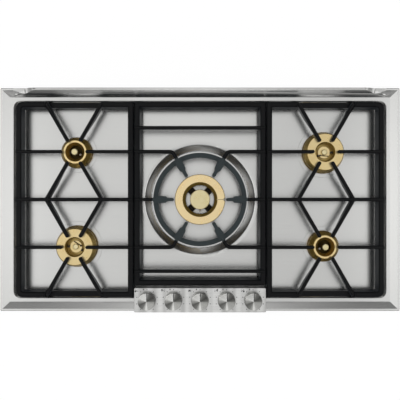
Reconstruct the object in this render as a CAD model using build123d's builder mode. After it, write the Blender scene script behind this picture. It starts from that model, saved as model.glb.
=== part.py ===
from build123d import *
import os
from dataclasses import dataclass
from math import cos, radians, sin, tan

os.makedirs("parts", exist_ok=True)

# A built-in gas cooktop with five burners. The origin is the centre of the underside of the
# burner box, +Z is up and the controls face -Y. Heights named *_height are above the worktop
# surface and names ending in _z are in the part's own frame.

# ---------------------------------------------------------------- overall sizes
overall_width = 914.0  # outer edges of the tray border, left to right
overall_depth = 510.0  # outer edges of the tray border, front to back
box_height = 66.0  # underside of the burner box to the worktop surface
worktop_z = box_height
contact_clearance = 0.3  # parts that lie beside each other without touching
cut_margin = 1.0  # cuts run past the surface they open
edge_search = 0.01  # half height of the slice in which bend edges are looked for

# ---------------------------------------------------------------- top tray
sheet = 1.2
rim_height = 8.0
rear_rise = 6.0  # extra height of the rear border between its ends
rear_rise_half_width = 375.0
rear_ramp_length = 27.0
rim_flat = 5.0
rim_slope_run = 15.4
ledge_height = 2.0
ledge_width = 9.0
well_floor_depth = 14.0
well_corner_radius = 15.0
rim_corner_radius = 2.5
rim_edge_bend = 1.6
well_lip_bend = 1.8
well_floor_bend = 4.0
return_flange_width = 10.0
seal_thickness = 1.5
seal_width = 8.0
seal_inset = 1.0
dish_lip_radius = 129.0  # round dish under the wok burner
dish_floor_radius = 114.0
dish_drop = 9.4
dish_lip_bend = 12.0
dish_floor_bend = 5.0
collar_margin = 9.0  # raised collar beyond each side burner's base
collar_rise = 3.0
collar_slope_run = 3.5

# ---------------------------------------------------------------- control panel and knobs
panel_width = 298.0
panel_rear_margin = 28.3  # knob axes in front of the panel's rear face
panel_height = 24.0
panel_sheet = 1.5
panel_corner_radius = 3.0
panel_edge_bend = 1.2
knob_count = 5
knob_end_margin = 29.4  # axes of the outer knobs from the ends of the panel
knob_diameter = 39.5
knob_body_height = 14.0
knob_travel = 3.0
knob_gap = 3.5  # knob skirt above the panel at rest
knob_dish = 1.4
knob_edge_chamfer = 0.9
knob_skirt_taper = 0.7
pointer_width = 1.6
pointer_depth = 0.7
knob_socket_depth = 11.0

# ---------------------------------------------------------------- valves
spindle_radius = 4.0
spindle_flat = 1.0  # depth of the flat that turns the knob
spindle_running_clearance = 0.06
spindle_foot_depth = 2.0  # foot of the round spindle below the worktop surface
tongue_thickness = 3.0
tongue_length = 10.0
tongue_clearance = 0.1
plug_top_radius = 6.4
plug_bottom_radius = 5.6
plug_top_depth = 6.0
plug_bottom_depth = 33.0
plug_running_clearance = 0.05
plug_slot_depth = 11.0
valve_neck_radius = 9.5
valve_top_height = 10.0
valve_shoulder_depth = 10.0
valve_foot_depth = 36.0
valve_width = 22.0
valve_front_reach = 9.5
valve_rear_reach = 20.0
valve_wall_gap = 1.3  # valve bodies behind the front wall of the box
valve_corner_chamfer = 2.0
outlet_radius = 5.0
outlet_length = 6.0
outlet_depth = 30.0  # outlets, gas pipes and burner inlets share this depth
rail_thickness = 1.5
rail_depth = 40.0
panel_hole_radius = 6.0

# ---------------------------------------------------------------- gas supply
manifold_radius = 8.0
manifold_wall = 1.5
manifold_depth = 46.0
manifold_overhang = 20.0
saddle_width = 14.0
supply_bend_radius = 30.0
inlet_inset = 45.0  # gas connection from the right end of the box
inlet_thread_radius = 10.48
inlet_bore_radius = 7.0
inlet_nut_radius = 14.0
inlet_nut_length = 9.0
inlet_stub_reach = 14.0  # threaded stub behind the burner box
inlet_neck_radius = 9.8
inlet_neck_length = 1.0  # plain neck between the burner box and the thread
inlet_chamfer = 1.0
pipe_radius = 4.0
pipe_bend_radius = 30.0

# ---------------------------------------------------------------- burners
burner_offset_x = 1.4  # side burners outside the middle of their grate
burner_bar_distance = 113.0  # side burners from the front or rear edge of their grate
cup_radius = 16.0
cup_wall = 2.5
gallery_thickness = 8.0
inlet_boss_length = 8.0
tray_hole_clearance = 0.5
base_lip_height = 5.0
injector_radius = 3.5
injector_length = 10.0
injector_bore_radius = 0.9
electrode_radius = 2.4
electrode_tip_width = 1.6
electrode_tip_length = 6.0
electrode_hole_clearance = 0.4
igniter_angle_left = 180.0  # place of the electrode round the left burners
igniter_angle_right = 210.0
sensor_step_angle = 150.0  # flame sensor, from the electrode
flame_port_width = 2.0
flame_port_height = 5.0
flame_port_margin = 1.0
port_band_height = 8.0


@dataclass(frozen=True)
class RingBurner:
    """Sizes of a side burner; heights are above the worktop surface."""

    base_radius: float
    ring_radius: float
    ring_inner_radius: float
    bore_radius: float
    bore_top_height: float
    ring_height: float
    hub_radius: float
    hub_height: float
    cap_radius: float
    cap_thickness: float
    port_count: int
    head_wall: float = 2.2
    hub_bore_radius: float = 2.5


small_burner = RingBurner(
    base_radius=36.0,
    ring_radius=27.3,
    ring_inner_radius=22.0,
    bore_radius=15.5,
    bore_top_height=6.0,
    ring_height=15.0,
    hub_radius=5.0,
    hub_height=17.5,
    cap_radius=7.25,
    cap_thickness=3.5,
    port_count=16,
)
large_burner = RingBurner(
    base_radius=48.0,
    ring_radius=42.0,
    ring_inner_radius=22.8,
    bore_radius=19.8,
    bore_top_height=13.5,
    ring_height=17.6,
    hub_radius=13.5,
    hub_height=3.0,
    cap_radius=6.5,
    cap_thickness=5.0,
    port_count=24,
)

wok_base_radius = 58.5
wok_ring_radius = 57.0
wok_ring_inner_radius = 39.5
wok_bore_radius = 33.0
wok_bore_top_height = 9.0
wok_ring_height = 20.0
wok_seat_height = 9.4  # base ring above the dish floor
wok_head_wall = 3.0
wok_port_count = 24
wok_port_angle = 5.0  # first flame port, from the slit
wok_slit_width = 0.8
wok_notch_width = 6.4
wok_notch_depth = 3.2
wok_hub_radius = 19.0
wok_hub_height = 15.0
wok_arm_count = 4
wok_arm_angle = 45.0
wok_arm_width = 16.0
wok_arm_height = 18.4
wok_cap_radius = 22.5
wok_cap_thickness = 6.5

# ---------------------------------------------------------------- grates
grate_height = 28.0  # top of the fingers
frame_top_height = 25.5
frame_bottom_height = 6.0
frame_bar_width = 12.0
frame_draft = 9.5  # degrees that the inner faces of the frame lean in towards their foot
frame_edge_radius = 4.0
window_corner_radius = 6.0
dip_top_height = 9.0
dip_bar_height = 12.0
finger_width = 7.4
diagonal_width = 8.0
diagonal_angle = 60.0
finger_bottom_height = 10.0
finger_tip_height = 19.5  # underside of the finger tips, above the burner heads
finger_tip_reach = 26.0  # tips from the burner's axis
tip_cut_radius = 52.0
tip_cut_run = 36.0
finger_edge_chamfer = 1.8
grate_side_gap = 11.6  # side grates inside the well's side walls
grate_end_gap = 4.6  # grates inside the well's front and rear walls
centre_grate_front_gap = 5.4  # centre grate in front of the panel's rear wall
grate_gap = 1.5
grate_corner_radius = 15.0
crossbar_distance = 59.0  # crossbars of the centre grate from its rear edge
wok_finger_bend = 12.0
wok_finger_reach = 59.5
wok_ring_outer_radius = 106.0
wok_ring_inner_edge = 95.0
wok_ring_top_height = 18.0
wok_ring_bottom_height = 9.0
paddle_outer_radius = 104.0
paddle_inner_radius = 74.0
paddle_outer_width = 19.0
paddle_inner_width = 14.5
wok_seat_drop = 7.0  # fall of the paddles and tips towards the wok burner
foot_width = 12.0
foot_offset = 4.2  # feet of the side grates outside the ends of the diagonal fingers
pad_width = 10.0
pad_thickness = 3.0

# ---------------------------------------------------------------- burner box and fixings
border_overhang_side = 17.0  # tray border beyond the box, left and right
border_overhang_end = 15.0  # tray border beyond the box, front and rear
box_sheet = 1.2
box_corner_radius = 8.0
box_flange_width = 9.0
vent_length = 60.0
vent_width = 6.0
vent_pitch = 22.0
vent_count = 5
vent_offset_x = 190.0
clamp_width = 24.0
clamp_reach = 13.0
clamp_thickness = 2.5
clamp_drop = 38.0  # clamp foot below the worktop surface
clamp_leg = 20.0
clamp_inset = 110.0  # clamps from the ends of the box
clamp_screw_radius = 2.5
clamp_screw_length = 34.0
clamp_screw_head_radius = 4.5
clamp_screw_head_height = 4.0
gland_radius = 9.0
gland_bore_radius = 3.7
gland_wall = 3.0  # from the nut's corners to the spigot
gland_reach = 14.0
gland_spigot_reach = 4.0  # spigot inside the rear wall
gland_spigot_bore_radius = 4.6
gland_grip_length = 13.0  # narrow part of the bore that grips the cable
gland_inset = 45.0  # mains cable gland from the left end of the box
terminal_box_size = 58.0
terminal_box_depth = 38.0
terminal_box_height = 30.0
housing_edge_chamfer = 2.0
ignition_module_width = 92.0
ignition_module_depth = 46.0
ignition_module_height = 26.0
ignition_module_x = 60.0
ignition_module_rear_gap = 50.8
ignition_socket_width = 6.0
ignition_socket_height = 5.0
ignition_socket_pitch = 16.0

# ---------------------------------------------------------------- places worked out from the sizes
rim_z = worktop_z + rim_height
rear_rim_z = rim_z + rear_rise
ledge_z = worktop_z + ledge_height
floor_z = worktop_z - well_floor_depth
dish_z = floor_z - dish_drop
collar_z = floor_z + collar_rise
tray_base_z = floor_z - sheet
flange_z = worktop_z + seal_thickness
slope_foot_inset = rim_flat + rim_slope_run
well_inset = slope_foot_inset + ledge_width
well_width = overall_width - 2 * well_inset
well_length = overall_depth - 2 * well_inset
panel_top_z = worktop_z + panel_height
panel_front_y = -overall_depth / 2
box_width = overall_width - 2 * border_overhang_side
box_depth = overall_depth - 2 * border_overhang_end
box_inner_half_depth = box_depth / 2 - box_sheet
knob_y = -box_inner_half_depth + valve_wall_gap + valve_front_reach
panel_rear_y = knob_y + panel_rear_margin
panel_centre_y = (panel_front_y + panel_rear_y) / 2
panel_depth = panel_rear_y - panel_front_y
knob_pitch = (panel_width - 2 * knob_end_margin) / (knob_count - 1)
knob_xs = [knob_pitch * (i - (knob_count - 1) / 2) for i in range(knob_count)]
outlet_z = worktop_z - outlet_depth
outlet_y = knob_y + valve_rear_reach + outlet_length
inlet_x = box_width / 2 - inlet_inset
gland_x = box_width / 2 - gland_inset
clamp_x = box_width / 2 - clamp_inset
ignition_module_y = box_inner_half_depth - ignition_module_rear_gap - ignition_module_depth / 2
manifold_z = worktop_z - manifold_depth
centre_grate_width = panel_width - 2 * contact_clearance
side_grate_inner_x = centre_grate_width / 2 + grate_gap
side_grate_outer_x = well_width / 2 - grate_side_gap
side_grate_x = (side_grate_inner_x + side_grate_outer_x) / 2
side_grate_width = side_grate_outer_x - side_grate_inner_x
grate_half_depth = well_length / 2 - grate_end_gap
burner_x = side_grate_x + burner_offset_x
burner_y = grate_half_depth - burner_bar_distance
crossbar_y = grate_half_depth - crossbar_distance
centre_grate_front_y = panel_rear_y + centre_grate_front_gap
finger_top_z = worktop_z + grate_height
frame_top_z = worktop_z + frame_top_height
frame_bottom_z = worktop_z + frame_bottom_height

burner_places = {
    "left_rear": (-burner_x, burner_y, small_burner),
    "left_front": (-burner_x, -burner_y, large_burner),
    "right_rear": (burner_x, burner_y, large_burner),
    "right_front": (burner_x, -burner_y, small_burner),
}


def write(builder, node):
    """Label a finished piece with its node name and write it."""
    builder.part.label = node
    export_step(builder.part, f"parts/{node}.step")


# ================================================================ top tray
def tray_block(inset):
    """What lies beneath the pressing's upper face (inset 0) or beneath its lower face (inset = sheet)."""
    with BuildPart() as block:
        with BuildSketch(Plane.XY.offset(tray_base_z)):
            RectangleRounded(overall_width - 2 * inset, overall_depth - 2 * inset, rim_corner_radius - inset)
        extrude(amount=rim_z - inset - tray_base_z)
        if inset == 0:
            fillet(block.edges().group_by(Axis.Z)[-1], rim_edge_bend)
        with BuildSketch(Plane.XY.offset(ledge_z - inset)):
            Rectangle(overall_width - 2 * slope_foot_inset, overall_depth - 2 * slope_foot_inset)
        with BuildSketch(Plane.XY.offset(rim_z - inset)):
            Rectangle(overall_width - 2 * rim_flat, overall_depth - 2 * rim_flat)
        loft(mode=Mode.SUBTRACT)
        # the rear border rises between its ends, over an S-shaped ramp at each end
        with BuildPart(mode=Mode.PRIVATE) as rise:
            rear_y = overall_depth / 2 - inset
            flat_y = overall_depth / 2 - rim_flat
            foot_y = overall_depth / 2 - slope_foot_inset
            with BuildSketch(Plane.YZ.offset(-overall_width / 2)):
                with BuildLine():
                    Polyline(
                        (rear_y, tray_base_z),
                        (rear_y, rear_rim_z - inset),
                        (flat_y, rear_rim_z - inset),
                        (foot_y, ledge_z - inset),
                        (foot_y, tray_base_z),
                        close=True,
                    )
                make_face()
            extrude(amount=overall_width)
            if inset == 0:
                fillet(rise.edges().filter_by(Axis.X).group_by(Axis.Z)[-1].sort_by(Axis.Y)[-1], rim_edge_bend)
            ramp_top = rear_rise_half_width - inset
            ramp_foot = ramp_top + rear_ramp_length
            end_x = overall_width / 2 - well_inset
            with BuildSketch(Plane.XZ.offset(-overall_depth / 2)):
                with BuildLine():
                    left = Spline(
                        (-ramp_foot, rim_z - inset),
                        (-ramp_top, rear_rim_z - inset),
                        tangents=((1, 0), (1, 0)),
                    )
                    right = Spline(
                        (ramp_top, rear_rim_z - inset),
                        (ramp_foot, rim_z - inset),
                        tangents=((1, 0), (1, 0)),
                    )
                    Line(left @ 1, right @ 0)
                    Polyline(
                        left @ 0,
                        (-end_x, rim_z - inset),
                        (-end_x, tray_base_z),
                        (end_x, tray_base_z),
                        (end_x, rim_z - inset),
                        right @ 1,
                    )
                make_face()
            extrude(amount=slope_foot_inset, mode=Mode.INTERSECT)
        add(rise.part)
        with BuildSketch(Plane.XY.offset(floor_z - inset)):
            RectangleRounded(well_width + 2 * inset, well_length + 2 * inset, well_corner_radius + inset)
        extrude(amount=ledge_z - floor_z, mode=Mode.SUBTRACT)
    return block.part


with BuildPart() as top_tray:
    add(tray_block(0))
    add(tray_block(sheet), mode=Mode.SUBTRACT)
    # open the border from below, leaving a return flange that sits on the worktop seal
    with BuildSketch(Plane.XY.offset(tray_base_z)):
        Rectangle(overall_width, overall_depth)
        Rectangle(
            overall_width - 2 * return_flange_width,
            overall_depth - 2 * return_flange_width,
            mode=Mode.SUBTRACT,
        )
    extrude(amount=flange_z - tray_base_z, mode=Mode.SUBTRACT)
    with BuildSketch(Plane.XY.offset(flange_z)):
        RectangleRounded(overall_width, overall_depth, rim_corner_radius)
        Rectangle(
            overall_width - 2 * return_flange_width,
            overall_depth - 2 * return_flange_width,
            mode=Mode.SUBTRACT,
        )
    extrude(amount=sheet)
    # soft bends where the ledge turns down into the well and where the well meets its floor
    lip_edges = top_tray.edges().filter_by_position(Axis.Z, ledge_z - edge_search, ledge_z + edge_search)
    lip_edges = [
        edge
        for edge in lip_edges
        if abs(edge.center().X) < well_width / 2 + edge_search
        and abs(edge.center().Y) < well_length / 2 + edge_search
    ]
    fillet(lip_edges, well_lip_bend)
    floor_edges = top_tray.edges().filter_by_position(Axis.Z, floor_z - edge_search, floor_z + edge_search)
    fillet(floor_edges, well_floor_bend)
    # the round dish under the wok burner
    dish_cut_radius = dish_lip_radius + dish_lip_bend
    with BuildSketch(Plane.XY.offset(tray_base_z)):
        Circle(dish_cut_radius)
    extrude(amount=sheet, mode=Mode.SUBTRACT)
    with BuildSketch(Plane.XZ):
        with BuildLine():
            upper = FilletPolyline(
                (0, dish_z),
                (dish_floor_radius, dish_z),
                (dish_lip_radius, floor_z),
                (dish_cut_radius, floor_z),
                radius=[dish_floor_bend, dish_lip_bend],
            )
            Polyline(
                upper @ 1,
                (dish_cut_radius, floor_z - sheet),
                (dish_lip_radius, floor_z - sheet),
                (dish_floor_radius, dish_z - sheet),
                (0, dish_z - sheet),
                upper @ 0,
            )
        make_face()
    revolve(axis=Axis.Z)
    # the raised collars and the holes of the side burners
    for burner_place_x, burner_place_y, size in burner_places.values():
        collar_radius = size.base_radius + collar_margin
        collar_foot = collar_radius + collar_slope_run
        with BuildSketch(Plane.XY.offset(tray_base_z)):
            with Locations((burner_place_x, burner_place_y)):
                Circle(collar_foot)
        extrude(amount=sheet, mode=Mode.SUBTRACT)
        with BuildSketch(Plane((burner_place_x, burner_place_y, 0), x_dir=(1, 0, 0), z_dir=(0, -1, 0))):
            with BuildLine():
                Polyline(
                    (0, collar_z),
                    (collar_radius, collar_z),
                    (collar_foot, floor_z),
                    (collar_foot, floor_z - sheet),
                    (collar_radius, collar_z - sheet),
                    (0, collar_z - sheet),
                    close=True,
                )
            make_face()
        revolve(axis=Axis((burner_place_x, burner_place_y, 0), (0, 0, 1)))
        with Locations((burner_place_x, burner_place_y, collar_z)):
            Hole(cup_radius + tray_hole_clearance, depth=2 * collar_rise)
    with Locations((0, 0, dish_z)):
        Hole(cup_radius + tray_hole_clearance, depth=2 * sheet)
    # notch that the control panel fills
    with BuildSketch(Plane.XY.offset(tray_base_z)):
        with Locations((0, panel_centre_y)):
            Rectangle(panel_width, panel_depth)
    extrude(amount=panel_top_z - tray_base_z, mode=Mode.SUBTRACT)
write(top_tray, "top_tray")


# ================================================================ control panel
panel_step_y = -box_inner_half_depth + 2 * contact_clearance
panel_foot_z = tray_base_z - sheet
with BuildPart() as control_panel:
    with BuildSketch(Plane.XY.offset(panel_foot_z)):
        with Locations((0, panel_centre_y)):
            RectangleRounded(panel_width, panel_depth, panel_corner_radius)
    extrude(amount=panel_top_z - panel_foot_z)
    fillet(control_panel.edges().group_by(Axis.Z)[-1], panel_edge_bend)
    with BuildSketch(Plane.XY.offset(panel_foot_z)):
        with Locations((0, panel_centre_y)):
            RectangleRounded(
                panel_width - 2 * panel_sheet,
                panel_depth - 2 * panel_sheet,
                panel_corner_radius - panel_sheet,
            )
    extrude(amount=panel_top_z - panel_sheet - panel_foot_z, mode=Mode.SUBTRACT)
    # in front of the burner box the skirt ends at the worktop seal
    front_strip = panel_step_y - panel_front_y
    with BuildSketch(Plane.XY.offset(panel_foot_z)):
        with Locations((0, panel_front_y + front_strip / 2)):
            Rectangle(panel_width, front_strip)
    extrude(amount=flange_z - panel_foot_z, mode=Mode.SUBTRACT)
    with BuildSketch(Plane.XY.offset(flange_z)):
        with Locations((0, panel_front_y + return_flange_width / 2)):
            Rectangle(panel_width - 2 * panel_sheet, return_flange_width - 2 * panel_sheet)
    extrude(amount=sheet)
    with Locations(*[(x, knob_y, panel_top_z) for x in knob_xs]):
        Hole(panel_hole_radius, depth=2 * panel_sheet)
write(control_panel, "control_panel")

# ================================================================ knobs, spindles, plugs and valves
knob_foot_z = panel_top_z + knob_gap
knob_top_z = knob_foot_z + knob_body_height
knob_radius = knob_diameter / 2
knob_top_radius = knob_radius - knob_skirt_taper
spindle_foot_z = worktop_z - spindle_foot_depth
spindle_top_z = knob_foot_z + knob_socket_depth
plug_top_z = worktop_z - plug_top_depth
plug_bottom_z = worktop_z - plug_bottom_depth
valve_top_z = worktop_z + valve_top_height
valve_shoulder_z = worktop_z - valve_shoulder_depth
valve_foot_z = worktop_z - valve_foot_depth
bush_radius = spindle_radius + spindle_running_clearance


def d_section(radius, flat):
    """Round section with a flat cut on its +Y side."""
    with BuildSketch(mode=Mode.PRIVATE) as section:
        Circle(radius)
        with Locations((0, radius)):
            Rectangle(2 * radius, 2 * flat, mode=Mode.SUBTRACT)
    return section.sketch


for number, knob_x in enumerate(knob_xs, start=1):
    axis = Axis((knob_x, knob_y, 0), (0, 0, 1))
    profile_plane = Plane((knob_x, knob_y, 0), x_dir=(1, 0, 0), z_dir=(0, -1, 0))

    with BuildPart() as knob:
        with BuildSketch(profile_plane):
            with BuildLine():
                Polyline(
                    (0, knob_foot_z),
                    (knob_radius, knob_foot_z),
                    (knob_top_radius, knob_top_z - knob_edge_chamfer),
                    (knob_top_radius - knob_edge_chamfer, knob_top_z),
                    (0, knob_top_z - knob_dish),
                    close=True,
                )
            make_face()
        revolve(axis=axis)
        with BuildSketch(Plane((knob_x, knob_y, knob_foot_z))):
            add(d_section(spindle_radius, spindle_flat))
        extrude(amount=knob_socket_depth, mode=Mode.SUBTRACT)
        # pointer: a straight groove from the middle of the dished top to its rim
        with BuildSketch(Plane((knob_x, knob_y, knob_top_z - knob_dish - pointer_depth))):
            with Locations((0, knob_radius / 2)):
                Rectangle(pointer_width, knob_radius)
        extrude(amount=knob_dish + 2 * pointer_depth, mode=Mode.SUBTRACT)
    write(knob, f"knob_{number}")

    with BuildPart() as valve_spindle:
        with BuildSketch(Plane((knob_x, knob_y, spindle_foot_z - tongue_length))):
            Rectangle(tongue_thickness, 2 * spindle_radius - 2 * tongue_clearance)
        extrude(amount=tongue_length)
        with BuildSketch(Plane((knob_x, knob_y, spindle_foot_z))):
            Circle(spindle_radius)
        extrude(amount=knob_foot_z - spindle_foot_z)
        with BuildSketch(Plane((knob_x, knob_y, knob_foot_z))):
            add(d_section(spindle_radius, spindle_flat))
        extrude(amount=knob_socket_depth)
    write(valve_spindle, f"valve_spindle_{number}")

    with BuildPart() as valve_plug:
        with BuildSketch(profile_plane):
            with BuildLine():
                Polyline(
                    (0, plug_bottom_z),
                    (plug_bottom_radius, plug_bottom_z),
                    (plug_top_radius, plug_top_z),
                    (0, plug_top_z),
                    close=True,
                )
            make_face()
        revolve(axis=axis)
        with BuildSketch(Plane((knob_x, knob_y, plug_top_z - plug_slot_depth))):
            Rectangle(tongue_thickness + 2 * tongue_clearance, 3 * plug_top_radius)
        extrude(amount=plug_slot_depth, mode=Mode.SUBTRACT)
    write(valve_plug, f"valve_plug_{number}")

    with BuildPart() as gas_valve:
        with BuildSketch(Plane((knob_x, knob_y, valve_foot_z))):
            with Locations((0, (valve_rear_reach - valve_front_reach) / 2)):
                Rectangle(valve_width, valve_front_reach + valve_rear_reach)
        extrude(amount=valve_shoulder_z - valve_foot_z)
        chamfer(gas_valve.edges().filter_by(Axis.Z), valve_corner_chamfer)
        with BuildSketch(Plane((knob_x, knob_y, valve_shoulder_z))):
            Circle(valve_neck_radius)
        extrude(amount=valve_top_z - valve_shoulder_z)
        with BuildSketch(Plane((knob_x, outlet_y, outlet_z), x_dir=(1, 0, 0), z_dir=(0, -1, 0))):
            Circle(outlet_radius)
        extrude(amount=outlet_length)
        # spindle bush, spindle chamber and the tapered seat of the plug
        with BuildSketch(profile_plane):
            with BuildLine():
                Polyline(
                    (0, plug_bottom_z - plug_running_clearance),
                    (plug_bottom_radius + plug_running_clearance, plug_bottom_z - plug_running_clearance),
                    (plug_top_radius + plug_running_clearance, plug_top_z),
                    (plug_top_radius + plug_running_clearance, spindle_foot_z),
                    (bush_radius, spindle_foot_z),
                    (bush_radius, valve_top_z),
                    (0, valve_top_z),
                    close=True,
                )
            make_face()
        revolve(axis=axis, mode=Mode.SUBTRACT)
    write(gas_valve, f"gas_valve_{number}")

# the rail that carries the valves, folded up at both ends to the underside of the panel
rail_length = panel_width - 2 * panel_sheet
with BuildPart() as valve_rail:
    with BuildSketch(Plane.XY.offset(valve_top_z)):
        with Locations((0, panel_centre_y)):
            Rectangle(rail_length, rail_depth)
    extrude(amount=rail_thickness)
    with BuildSketch(Plane.XY.offset(valve_top_z + rail_thickness)):
        with Locations((0, panel_centre_y)):
            Rectangle(rail_length, rail_depth)
            Rectangle(rail_length - 2 * rail_thickness, rail_depth, mode=Mode.SUBTRACT)
    extrude(amount=panel_top_z - panel_sheet - valve_top_z - rail_thickness)
    with Locations(*[(x, knob_y, valve_top_z + rail_thickness) for x in knob_xs]):
        Hole(panel_hole_radius, depth=rail_thickness)
write(valve_rail, "valve_rail")

# ================================================================ gas supply
manifold_end_x = knob_xs[-1] + manifold_overhang
along_x = Plane((-manifold_end_x, knob_y, manifold_z), x_dir=(0, 1, 0), z_dir=(1, 0, 0))
with BuildPart() as gas_manifold:
    with BuildSketch(along_x):
        Circle(manifold_radius)
    extrude(amount=2 * manifold_end_x)
    with BuildSketch(Plane.XY.offset(manifold_z)):
        with Locations(*[(x, knob_y) for x in knob_xs]):
            Rectangle(saddle_width, saddle_width)
    extrude(amount=valve_foot_z - manifold_z)
    with BuildSketch(along_x.offset(manifold_wall)):
        Circle(manifold_radius - manifold_wall)
    extrude(amount=2 * manifold_end_x, mode=Mode.SUBTRACT)
write(gas_manifold, "gas_manifold")

inlet_wall_y = box_inner_half_depth
inlet_nut_y = inlet_wall_y - inlet_nut_length
supply_start = (manifold_end_x, knob_y, manifold_z)
supply_corner = (inlet_x, knob_y, manifold_z)
supply_end = (inlet_x, inlet_nut_y, manifold_z)
with BuildPart() as gas_supply_pipe:
    with BuildLine():
        FilletPolyline(supply_start, supply_corner, supply_end, radius=supply_bend_radius)
    with BuildSketch(Plane(supply_start, x_dir=(0, 1, 0), z_dir=(1, 0, 0))):
        Circle(manifold_radius)
    sweep()
write(gas_supply_pipe, "gas_supply_pipe")

inlet_plane = Plane((inlet_x, inlet_nut_y, manifold_z), x_dir=(1, 0, 0), z_dir=(0, 1, 0))
inlet_end_y = box_depth / 2 + inlet_stub_reach
inlet_end_plane = Plane((inlet_x, inlet_end_y, manifold_z), x_dir=(1, 0, 0), z_dir=(0, -1, 0))
with BuildPart() as gas_inlet:
    with BuildSketch(inlet_plane):
        RegularPolygon(inlet_nut_radius, 6)
    extrude(amount=inlet_nut_length)
    with BuildSketch(inlet_plane):
        Circle(inlet_neck_radius)
    extrude(amount=inlet_end_y - inlet_nut_y)
    with BuildSketch(inlet_end_plane):
        Circle(inlet_thread_radius)
    extrude(amount=inlet_stub_reach - inlet_neck_length)
    chamfer(gas_inlet.edges().group_by(Axis.Y)[-1], inlet_chamfer)
    with BuildSketch(inlet_end_plane):
        Circle(inlet_bore_radius)
    extrude(amount=inlet_end_y - inlet_nut_y - manifold_wall, mode=Mode.SUBTRACT)
write(gas_inlet, "gas_inlet")

boss_reach = cup_radius + inlet_boss_length


def pipe_route(valve_x, target_x, target_y):
    """Corner points of a gas pipe from a valve outlet to the inlet boss of its burner, all at one height."""
    start = (valve_x, outlet_y, outlet_z)
    if target_x == valve_x:
        return [start, (target_x, target_y - boss_reach, outlet_z)]
    side = 1 if target_x > 0 else -1
    return [start, (valve_x, target_y, outlet_z), (target_x - side * boss_reach, target_y, outlet_z)]


pipe_routes = {
    "gas_pipes_left": [
        pipe_route(knob_xs[0], -burner_x, -burner_y),
        pipe_route(knob_xs[1], -burner_x, burner_y),
    ],
    "gas_pipe_wok": [pipe_route(knob_xs[2], 0.0, 0.0)],
    "gas_pipes_right": [
        pipe_route(knob_xs[4], burner_x, -burner_y),
        pipe_route(knob_xs[3], burner_x, burner_y),
    ],
}
for node, routes in pipe_routes.items():
    with BuildPart() as gas_pipes:
        for route in routes:
            with BuildLine() as path:
                if len(route) == 2:
                    Line(*route)
                else:
                    FilletPolyline(*route, radius=pipe_bend_radius)
            with BuildSketch(Plane(route[0], x_dir=(1, 0, 0), z_dir=(0, 1, 0))):
                Circle(pipe_radius)
            sweep(path=path.line)
    write(gas_pipes, node)

# ================================================================ burners
cup_foot_z = outlet_z - gallery_thickness / 2
cup_floor_z = outlet_z + gallery_thickness / 2
cup_inner_radius = cup_radius - cup_wall
injector_top_z = cup_floor_z + injector_length


def cup_boss(boss_start, towards_axis):
    """Inlet boss on the side of the cup below the tray."""
    with BuildPart() as boss:
        with BuildSketch(Plane(boss_start, z_dir=towards_axis)):
            Circle(outlet_radius)
        extrude(amount=boss_reach - cup_inner_radius)
    return boss.part


def cup_gas_way(x, y, boss_start, towards_axis):
    """Gas way from the pipe through the boss and up into the injector."""
    with BuildPart() as way:
        with BuildSketch(Plane(boss_start, z_dir=towards_axis)):
            Circle(outlet_radius / 2)
        extrude(amount=boss_reach)
        with BuildSketch(Plane((x, y, outlet_z))):
            Circle(outlet_radius / 2)
        extrude(amount=gallery_thickness)
    return way.part


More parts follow.
